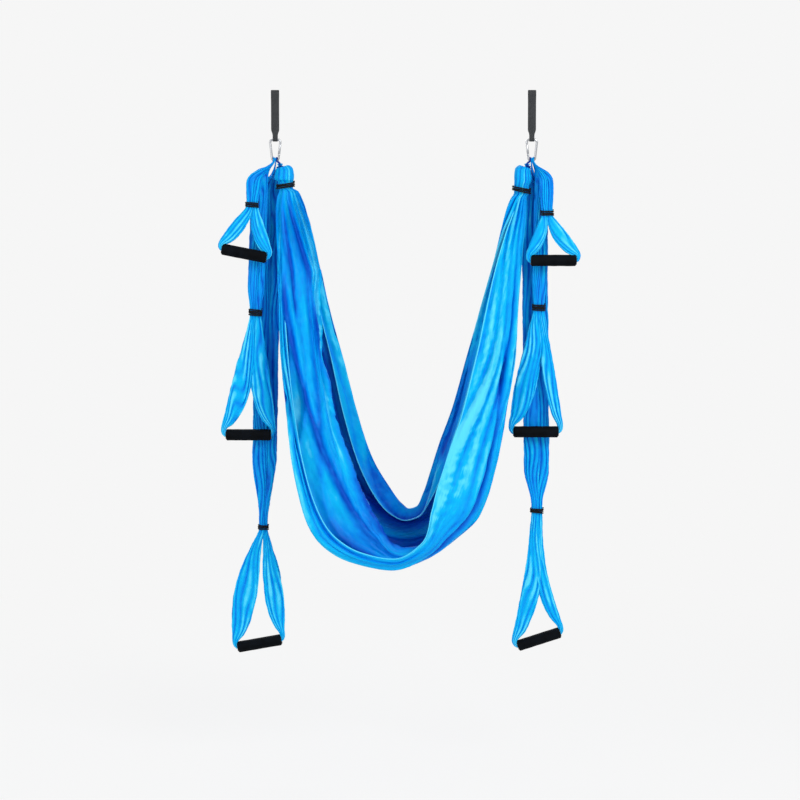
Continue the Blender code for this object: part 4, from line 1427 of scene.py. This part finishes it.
# Long creases: start and end along the cloth, place across it at each, depth and half width
LONG_CREASES = (
    (0.030, 0.30, 0.305, 0.475, 0.016, 0.013),
    (0.100, 0.47, 0.243, 0.388, 0.015, 0.012),
    (0.160, 0.47, 0.243, 0.266, 0.012, 0.010),
    (0.055, 0.21, 0.268, 0.325, 0.009, 0.007),
    (0.490, 0.80, 0.182, 0.126, 0.018, 0.016),
    (0.600, 0.77, 0.965, 0.955, 0.010, 0.016),
    (0.160, 0.46, 0.830, 0.850, 0.007, 0.008),
)

# Painted shade and painted light: start and end along the cloth and across it, and how much lighter
SHADED_FIELDS = (
    (0.18, 0.62, 0.47, 0.76, -0.50),
    (0.40, 0.54, 0.25, 0.46, -0.34),
    (0.34, 0.44, 0.35, 0.45, -0.14),
    (0.34, 0.60, 0.78, 1.00, -0.20),
    (0.54, 0.98, 0.00, 0.13, 0.18),
    (0.56, 0.90, 0.19, 0.27, 0.25),
    (0.20, 0.42, 0.22, 0.33, 0.12),
    (0.01, 0.22, 0.38, 0.58, 0.34),
    (0.58, 0.76, 0.80, 1.00, -0.14),
    (0.74, 0.99, 0.84, 1.00, 0.22),
)

# Ripples of the seat's cloth: step of the seed, size, and how fast they run across and along.
# Wrinkles push the cloth out, glints paint highlights into its colour, and the crest is ragged,
# where the first speed is the one along
SEAT_WRINKLES = ((2, 0.0032, 9, 9), (3, 0.0019, 20, 34), (4, 0.0011, 42, 84), (5, 0.0005, 75, 150))
SEAT_GLINTS = ((9, 0.35, 40, 60), (10, 0.35, 90, 120))
RAGGED_CREST = ((6, 0.0022, 28, 3), (8, 0.0016, 85, 9))


@dataclass(frozen=True)
class BulbRow:
    """One round of the gathered end: how far inboard and down it lies, its radius and its slant."""

    inboard: float
    drop: float
    radius: float
    slant: float = 0.0


@dataclass
class SeatCloth:
    """The hammock: one wide cloth gathered at both ends, folded in layers where the user sits."""

    columns: int = 240
    end_rows: int = 40
    middle_rows: int = 332
    pleats: float = 15.0
    broad_folds: float = 5.0
    leg_pleat: float = 0.0145
    middle_pleat: float = 0.0062
    broad_pleat: float = 0.0150
    tied_pleat: float = 0.12
    give: float = 0.22
    knot_share: float = 0.6
    drift: float = 0.85
    seed: int = 40
    width: float = 0.86
    patch_fade: float = 0.07
    patch_edge: float = 0.02
    hem_radius: float = 0.0017
    hem_squash: float = 0.7

    def end_knots(self, side: Side) -> list[tuple[float, ...]]:
        """Lists round rows from the knob down to the tie.

        Returns:
            Rows of outer x and z, inner x and z, half depth, bundle share, hem share and crest share.
        """
        top = NECK_TOP - KNOB_HEIGHT
        low = NECK_TOP + NECK_LENGTH
        tie = SEAT_TIE_DROP[side.value]
        bulb = low + (tie - low) * 0.40
        full = BULB_RADIUS[side.value]
        rows = (
            BulbRow(NECK_INBOARD, top - 0.0005, KNOB_RADIUS * 0.15),
            BulbRow(NECK_INBOARD, top, KNOB_RADIUS * 0.7),
            BulbRow(NECK_INBOARD, top + KNOB_HEIGHT * 0.4, KNOB_RADIUS * 0.94),
            BulbRow(NECK_INBOARD, NECK_TOP, NECK_RADIUS),
            BulbRow(NECK_INBOARD, low, NECK_RADIUS),
            BulbRow(NECK_INBOARD + 0.003, low - 0.006, full * 0.40, 0.003),
            BulbRow(NECK_INBOARD + 0.006, low - 0.009, full * 0.58, 0.005),
            BulbRow(NECK_INBOARD + 0.009, low - 0.005, full * 0.76, 0.006),
            BulbRow(BULB_INBOARD, low + 0.003, full * 0.91, 0.005),
            BulbRow(BULB_INBOARD, bulb, full, 0.002),
            BulbRow(BULB_INBOARD, bulb + 0.010, full * 0.98),
            BulbRow(SEAT_TIE_INBOARD, tie - 0.010, SEAT_TIE_RADIUS * 0.97),
            BulbRow(SEAT_TIE_INBOARD, tie + 0.010, SEAT_TIE_RADIUS * 0.97),
        )
        hem, crest = (0.02, 1.0) if side is Side.LEFT else (0.96, 0.5)
        listed = []
        for row in rows:
            x = side.value * (HALF_SPACING - row.inboard)
            near, far = x + side.value * row.radius, x - side.value * row.radius
            listed.append(
                (near, -row.drop - row.slant, far, -row.drop + row.slant, row.radius, 1.0, hem, crest)
            )
        return listed

    def stations(self) -> Array:
        """Reads the seat's rows at every station along the cloth."""
        left = self.end_knots(Side.LEFT)
        right = self.end_knots(Side.RIGHT)[::-1]
        middle = [
            (
                outer[0] * HALF_SPACING,
                -SEAT_FALL_TOP - outer[1] * SEAT_FALL,
                inner[0] * HALF_SPACING,
                -SEAT_FALL_TOP - inner[1] * SEAT_FALL,
                deep * SEAT_HALF_DEPTH,
                bundle,
                hem,
                crest,
            )
            for outer, inner, deep, bundle, hem, crest in SEAT_ROWS
        ]
        knots = np.array(left + middle + right)
        centre = (knots[:, 0:2] + knots[:, 2:4]) / 2
        place = chord_lengths(centre)
        turn = place[len(left) - 1], place[len(left) + len(middle)]
        at = np.concatenate(
            [
                np.linspace(0, turn[0], self.end_rows, endpoint=False),
                np.linspace(turn[0], turn[1], self.middle_rows, endpoint=False),
                np.linspace(turn[1], place[-1], self.end_rows),
            ]
        )
        return np.column_stack([through(place, knots, at), at / place[-1]])

    def section(self, rows: Array, share: Array) -> tuple[Array, Array]:
        """Gives the section at every station: layers where the cloth is open, mixed into a round bundle.

        The round is half plus half the sine up the section and minus the cosine deep, and it starts where the
        near layer faces the viewer.

        Args:
            rows: The stations.
            share: Places across the cloth, from 0 to 1.

        Returns:
            How far up from the outer edge to the inner edge, and the depth, as shares.
        """
        bundle, hem, crest = rows[:, 5:6], rows[:, 6:7], rows[:, 7:8]
        table = np.array(SEAT_LAYERS)
        read = through(np.linspace(0, 1, len(table)), table, share)
        layer_up = hem * read[:, 0] + crest * read[:, 1] + read[:, 2]
        left = rows[:, 8:9] < 0.5
        angle = 2 * math.pi * (share - np.where(left, 0.35, 0.0))
        round_up = 0.5 + np.where(left, 0.5, -0.5) * np.sin(angle)
        up = layer_up * (1 - bundle) + round_up * bundle
        deep = read[:, 3] * (1 - bundle) - np.cos(angle) * bundle
        low, high = up.min(axis=1, keepdims=True), up.max(axis=1, keepdims=True)
        return (up - low) / (high - low), deep

    def grid(self) -> tuple[Array, Array]:
        """Works out the cloth's points and the painted shading of its folds.

        The section lies between the layers and a round bundle, and the pleating pushes it along its own
        normal. What passes the outline is pressed back to a share of its reach.

        Returns:
            Points of shape (rows, columns, 3) and the tone at each.
        """
        rows = self.stations()
        share = np.linspace(0, 1, self.columns)
        up, deep = self.section(rows, share)
        bundle = rows[:, 5:6]
        reach = rows[:, 2:4] - rows[:, 0:2]
        size = np.linalg.norm(reach, axis=1, keepdims=True)
        flat_up = up * size
        flat_deep = deep * rows[:, 4:5]
        slope_up = np.gradient(flat_up, axis=1)
        slope_deep = np.gradient(flat_deep, axis=1)
        steep = np.maximum(np.hypot(slope_up, slope_deep), 1e-9)
        along, across = np.broadcast_arrays(rows[:, 8:9], share)
        push, tone = self.pleating(rows, along, across)
        ragged = crinkles(along, across, self.seed, RAGGED_CREST) * bell(across, 0.46, 0.025) * (1 - bundle)
        flat_up = flat_up - slope_deep / steep * push + ragged
        held = np.clip(flat_up, 0.0, size)
        flat_up = held + self.give * (flat_up - held)
        flat_deep = flat_deep + slope_up / steep * push
        direction = reach / size
        x = rows[:, 0:1] + direction[:, 0:1] * flat_up
        z = rows[:, 1:2] + direction[:, 1:2] * flat_up
        return np.stack([x, flat_deep, z], axis=-1), self.shaded(tone, along, across, bundle)

    def pleating(self, rows: Array, along: Array, across: Array) -> tuple[Array, Array]:
        """Works out how far the folds push the cloth out, and the painted shading that they give it.

        Fine pleats start at the ties and fade, and broad folds grow towards the middle.

        Args:
            rows: The stations.
            along: Places along the cloth.
            across: Places across it.

        Returns:
            The push in metres and the tone, before its fields and glints.
        """
        depth, bundle = rows[:, 4:5], rows[:, 5:6]
        middle = np.sin(math.pi * along) ** 1.5
        drift = self.drift * ripple(across * 1.9, along * 2.6, self.seed)
        pleat = pleat_wave(self.pleats * across + drift)
        broad = fold_wave(self.broad_folds * across + 0.6 * drift + 0.2)
        uneven = np.clip(0.66 + 0.45 * ripple(across * 5, along * 3.2, self.seed + 1), 0.10, 1.25)
        tied = ease((bundle - 0.85) / 0.15)
        knotted = np.zeros_like(bundle)
        knotted[: self.end_rows] = self.knot_share
        knotted[-self.end_rows :] = self.knot_share
        tied_size = self.tied_pleat * (1 - knotted) * depth
        open_size = self.leg_pleat + (self.middle_pleat - self.leg_pleat) * middle
        fine_size = tied * tied_size + (1 - tied) * open_size
        broad_size = self.broad_pleat * middle * (1 - bundle)
        wrinkle = crinkles(across, along, self.seed, SEAT_WRINKLES) * (1 - 0.8 * bundle)
        sunk, creased = self.creases(along, across)
        push = fine_size * (pleat * uneven - 0.3) + broad_size * broad * uneven + wrinkle - sunk
        edge = ease(across / 0.02) * ease((1 - across) / 0.02)
        # Painted shading: pleat and fold crests lighter, valleys and long creases darker
        tone = 0.45 + 0.50 * (0.65 * pleat + 0.35 * broad) * uneven - 0.62 * creased
        return push * (bundle + (1 - bundle) * edge), tone

    def shaded(self, tone: Array, along: Array, across: Array, bundle: Array) -> Array:
        """Adds painted shade and light fields, and painted glints on the crumpled hem and folded edges.

        Args:
            tone: The tone of the folds.
            along: Places along the cloth.
            across: Places across it.
            bundle: How far each station is a bundle.

        Returns:
            The tone from 0 to 1.
        """
        # Each field paints shade (darker) or light (lighter) into the colour
        for first, last, low, high, lighter in SHADED_FIELDS:
            patch = ease((along - first) / self.patch_fade) * ease((last - along) / self.patch_fade)
            patch = patch * ease((across - low + self.patch_edge) / (2 * self.patch_edge))
            patch = patch * ease((high + self.patch_edge - across) / (2 * self.patch_edge))
            tone = tone + lighter * patch * (1 - bundle * 0.6)
        # Painted highlights: glints on the crumpled hem, the crest's edge and the folded rim
        crumpled = bell(across, 0.045, 0.032) * ease((along - 0.50) / 0.06)
        crumpled = crumpled * (0.75 - 0.5 * ease((along - 0.6) / 0.3))
        crest = bell(across, 0.455, 0.012) * ease((0.50 - along) / 0.05)
        rim = 0.6 * bell(across, 0.90, 0.014) * ease((0.46 - along) / 0.05)
        glints = np.clip(0.45 + crinkles(across, along, self.seed, SEAT_GLINTS), 0, 1) * (1 - bundle)
        glints = glints * np.maximum(np.maximum(crumpled, crest), rim)
        return np.clip(np.clip(tone, 0.0, 0.84) + 0.40 * glints, 0.0, 1.0)

    def creases(self, along: Array, across: Array) -> tuple[Array, Array]:
        """Gives the long creases' depth and how strongly each point lies in one.

        A crease follows a straight line over the cloth, has a bell-shaped section and fades at both ends.

        Args:
            along: Places along the cloth.
            across: Places across it.

        Returns:
            The depth and a share from 0 to 1.
        """
        sunk = np.zeros(along.shape)
        share = np.zeros(along.shape)
        for number, (first, last, low, high, depth, half) in enumerate(LONG_CREASES):
            way = (along - first) / (last - first)
            line = low + (high - low) * way + 0.006 * ripple(along * 4, number, self.seed + 7)
            dent = bell(across, line, half) * ease(way / 0.2) * ease((1 - way) / 0.2)
            sunk = sunk + depth * dent
            share = np.maximum(share, dent)
        return sunk, share

    def build(self, finishes: Finishes) -> None:
        """Builds the cloth, its two rolled hems and its ties."""
        points, tone = self.grid()
        length = float(chord_lengths(points[:, self.columns // 2]).max())
        flat = (self.width, length)
        cloth = Shape.surface("hammock_cloth", points, finishes.cloth, tone=tone, flat=flat)
        hand_over(cloth, "swing", "cloth", "seat_cloth")
        for name, column in (("near", 0), ("far", -1)):
            hem = Shape.tube(
                f"hem_{name}",
                points[self.end_rows : -self.end_rows, column],
                self.hem_radius,
                DEEPWARDS,
                8,
                finishes.cloth,
                squash=self.hem_squash,
                # The hems take the top of the painted shading, a painted highlight along each edge
                tone=1.0,
            )
            hand_over(hem, "swing", "cloth")
        half = SEAT_TIE_RADIUS * FOLD_SWELL + CLEAR + TIE_CORD_RADIUS
        for side in Side:
            x = side.value * (HALF_SPACING - SEAT_TIE_INBOARD)
            WoundTie(
                name=f"seat_elastic_{side.label}",
                body="swing",
                node=f"seat_tie_{side.label}",
                centre=np.array([x, 0.0, -SEAT_TIE_DROP[side.value]]),
                half_x=half,
                half_y=half * TIE_EASE,
                turns=3,
                seed=70 + side.value,
                tilt=-0.17 * side.value,
                squareness=2.1,
            ).build(finishes)


@dataclass
class AnchorBand:
    """The dark band that goes over the bow, chokes the seat's neck and comes back up."""

    side: Side

    def path(self) -> Array:
        """Lists the band's middle: over the wire, down the front, round the neck and up the back."""
        side = self.side
        over = over_wire(side, ANCHOR_SLOT * SLOT_PITCH, np.linspace(0, math.pi, 12))
        neck_x = side.value * (HALF_SPACING - NECK_INBOARD)
        past_knob = KNOB_RADIUS * FOLD_SWELL + 2 * CLEAR + ANCHOR_RADIUS
        knob_middle = -NECK_TOP + KNOB_HEIGHT / 2
        ring = NECK_RADIUS * FOLD_SWELL + CLEAR + ANCHOR_RADIUS + BEVEL
        first = -NECK_TOP - ANCHOR_RADIUS - 2 * CLEAR
        turns = np.linspace(0, ANCHOR_TURNS, 54)
        round_neck = ring * on_circle(2 * math.pi * turns - math.pi / 2) + [neck_x, 0.0]
        winding = np.column_stack([round_neck, first - ANCHOR_PITCH * turns])
        outside = ring + ANCHOR_PITCH + CLEAR
        low = winding[-1, 2]
        ends = np.array(
            [
                (neck_x, outside, low + ANCHOR_RADIUS),
                (neck_x, outside, first),
                (neck_x, past_knob + CLEAR, knob_middle + CLEAR),
            ]
        )
        knots = np.concatenate([over, [[neck_x, -past_knob, knob_middle]], winding, ends, over[:1]])
        lengths = chord_lengths(knots)
        return through(lengths, knots, np.linspace(0, lengths[-1], 170, endpoint=False))

    def build(self, finishes: Finishes) -> None:
        """Builds the band as one endless cord."""
        path = self.path()
        upright = np.where(np.abs(ring_way(path)[:, 2:3]) > 0.8, [1.0, 0.0, 0.0], UPWARDS)
        upright = averaged(upright, 6)
        label = self.side.label
        name = f"anchor_band_{label}"
        band = Shape.tube(name, path, ANCHOR_RADIUS * 0.96, upright, 12, finishes.band, closed=True)
        hand_over(band, "swing", "anchor_band", f"anchor_{label}")


@dataclass
class Studio:
    """The plain stage: a pale floor, soft lamps and the camera."""

    scale: float = 0.003
    centre_pixel: tuple[float, float] = (403.5, 93.0)
    picture: float = 800.0
    lens: float = 110.0
    sensor: float = 36.0
    elevation: float = 5.5
    floor_drop: float = 2.05
    floor_half: float = 12.0
    floor_grey: float = 0.88
    backdrop: tuple[float, float, float, float] = (0.922, 0.922, 0.922, 1.0)
    sky: tuple[float, float, float, float] = (0.96, 0.98, 1.0, 1.0)
    sky_strength: float = 0.62
    lit_radius: float = 1.0
    faded_radius: float = 3.4
    nearest_share: float = 0.80
    aim: Place = (0.0, 0.0, -0.9)

    def build(self) -> None:
        """Sets up the floor, the lamps, the sky and the camera."""
        scene = bpy.context.scene
        scene.view_settings.view_transform = "Standard"
        self.camera(scene)
        self.floor()
        self.light_round(scene)
        self.lamp("key", (2.6, -4.2, 1.9), 2.6, 165.0)
        self.lamp("fill", (-3.6, -3.6, 0.4), 3.2, 62.0)
        self.lamp("rim", (-1.2, 3.6, 1.6), 2.4, 70.0)

    def camera(self, scene: bpy.types.Scene) -> None:
        """Aims a long lens so that the picture's middle lies where the photograph has it."""
        data = bpy.data.cameras.new("camera")
        data.lens = self.lens
        data.sensor_width = self.sensor
        made = bpy.data.objects.new("camera", data)
        scene.collection.objects.link(made)
        middle = self.picture / 2
        across, down = self.centre_pixel
        target = np.array([(middle - across) * self.scale, 0.0, (down - middle) * self.scale])
        distance = self.picture * self.scale * self.lens / self.sensor
        lift = math.radians(self.elevation)
        made.location = target + distance * np.array([0.0, -math.cos(lift), math.sin(lift)])
        made.rotation_euler = (math.pi / 2 - lift, 0.0, 0.0)
        data.clip_end = 60.0
        scene.camera = made

    def plain(self, paint: Paint) -> Material:
        """Makes a matte surface that the camera and reflections see at the backdrop's level.

        Near the swing a part of it is lit, so that it takes the shadow. Far away it fades into the backdrop.

        Args:
            paint: A started material.

        Returns:
            The material.
        """
        paint.dress(Base_Color=(*[self.floor_grey] * 3, 1.0), Roughness=0.9)
        light = paint.fed(paint.node("ShaderNodeEmission"), Color=self.backdrop)
        away = paint.node("ShaderNodeVectorMath", operation="LENGTH")
        paint.link(paint.place("Object", (1.0, 1.0, 0.0)), away.inputs[0])
        fade = paint.fed(
            paint.node("ShaderNodeMapRange", interpolation_type="SMOOTHSTEP"),
            From_Min=self.lit_radius,
            From_Max=self.faded_radius,
            To_Min=self.nearest_share,
            Value=away.outputs["Value"],
        )
        share = paint.sum(paint.seen(), fade.outputs["Result"], "MULTIPLY")
        paint.blend(share, paint.shader.outputs["BSDF"], light.outputs["Emission"], "Material Output")
        return paint.material

    def floor(self) -> None:
        """Lays a wide pale floor below the lowest grip."""
        edges = [-self.floor_half, self.floor_half]
        y, x = np.meshgrid(edges, edges, indexing="ij")
        points = np.stack([x, y, np.full((2, 2), -self.floor_drop)], axis=-1)
        made = Shape.surface("floor", points, self.plain(Paint("pale_floor")))

    def light_round(self, scene: bpy.types.Scene) -> None:
        """Lights the scene softly from all round, and shows the backdrop's level to the camera."""
        world = bpy.data.worlds.new("soft_sky")
        world.use_nodes = True
        scene.world = world
        nodes = Nodes(world.node_tree)
        soft = nodes.fed(nodes.tree.nodes["Background"], Color=self.sky, Strength=self.sky_strength)
        shown = nodes.fed(nodes.node("ShaderNodeBackground"), Color=self.backdrop)
        nodes.blend(nodes.seen(), soft.outputs["Background"], shown.outputs["Background"], "World Output")

    def lamp(self, name: str, place: Place, size: float, power: float) -> None:
        """Hangs one soft square lamp and points it at the swing."""
        data = bpy.data.lights.new(name, "AREA")
        data.size = size
        data.energy = power
        made = bpy.data.objects.new(name, data)
        bpy.context.scene.collection.objects.link(made)
        made.location = place
        made.rotation_euler = (Vector(self.aim) - Vector(place)).to_track_quat("-Z", "Y").to_euler()


def main() -> None:
    """Builds the stage and every piece of the swing."""
    logging.basicConfig(level=logging.INFO, format="%(name)s: %(message)s")
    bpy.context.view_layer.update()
    Studio().build()
    finishes = Finishes.build()
    SeatCloth().build(finishes)
    for side in Side:
        HangingStrap(side).build(finishes)
        SpringHook(side).build(finishes)
        AnchorBand(side).build(finishes)
        for number, sizes in enumerate(SLINGS[side]):
            HandSling(side, sizes, seed=100 * (number + 1) + side.value).build(finishes)


if __name__ == "__main__":
    main()
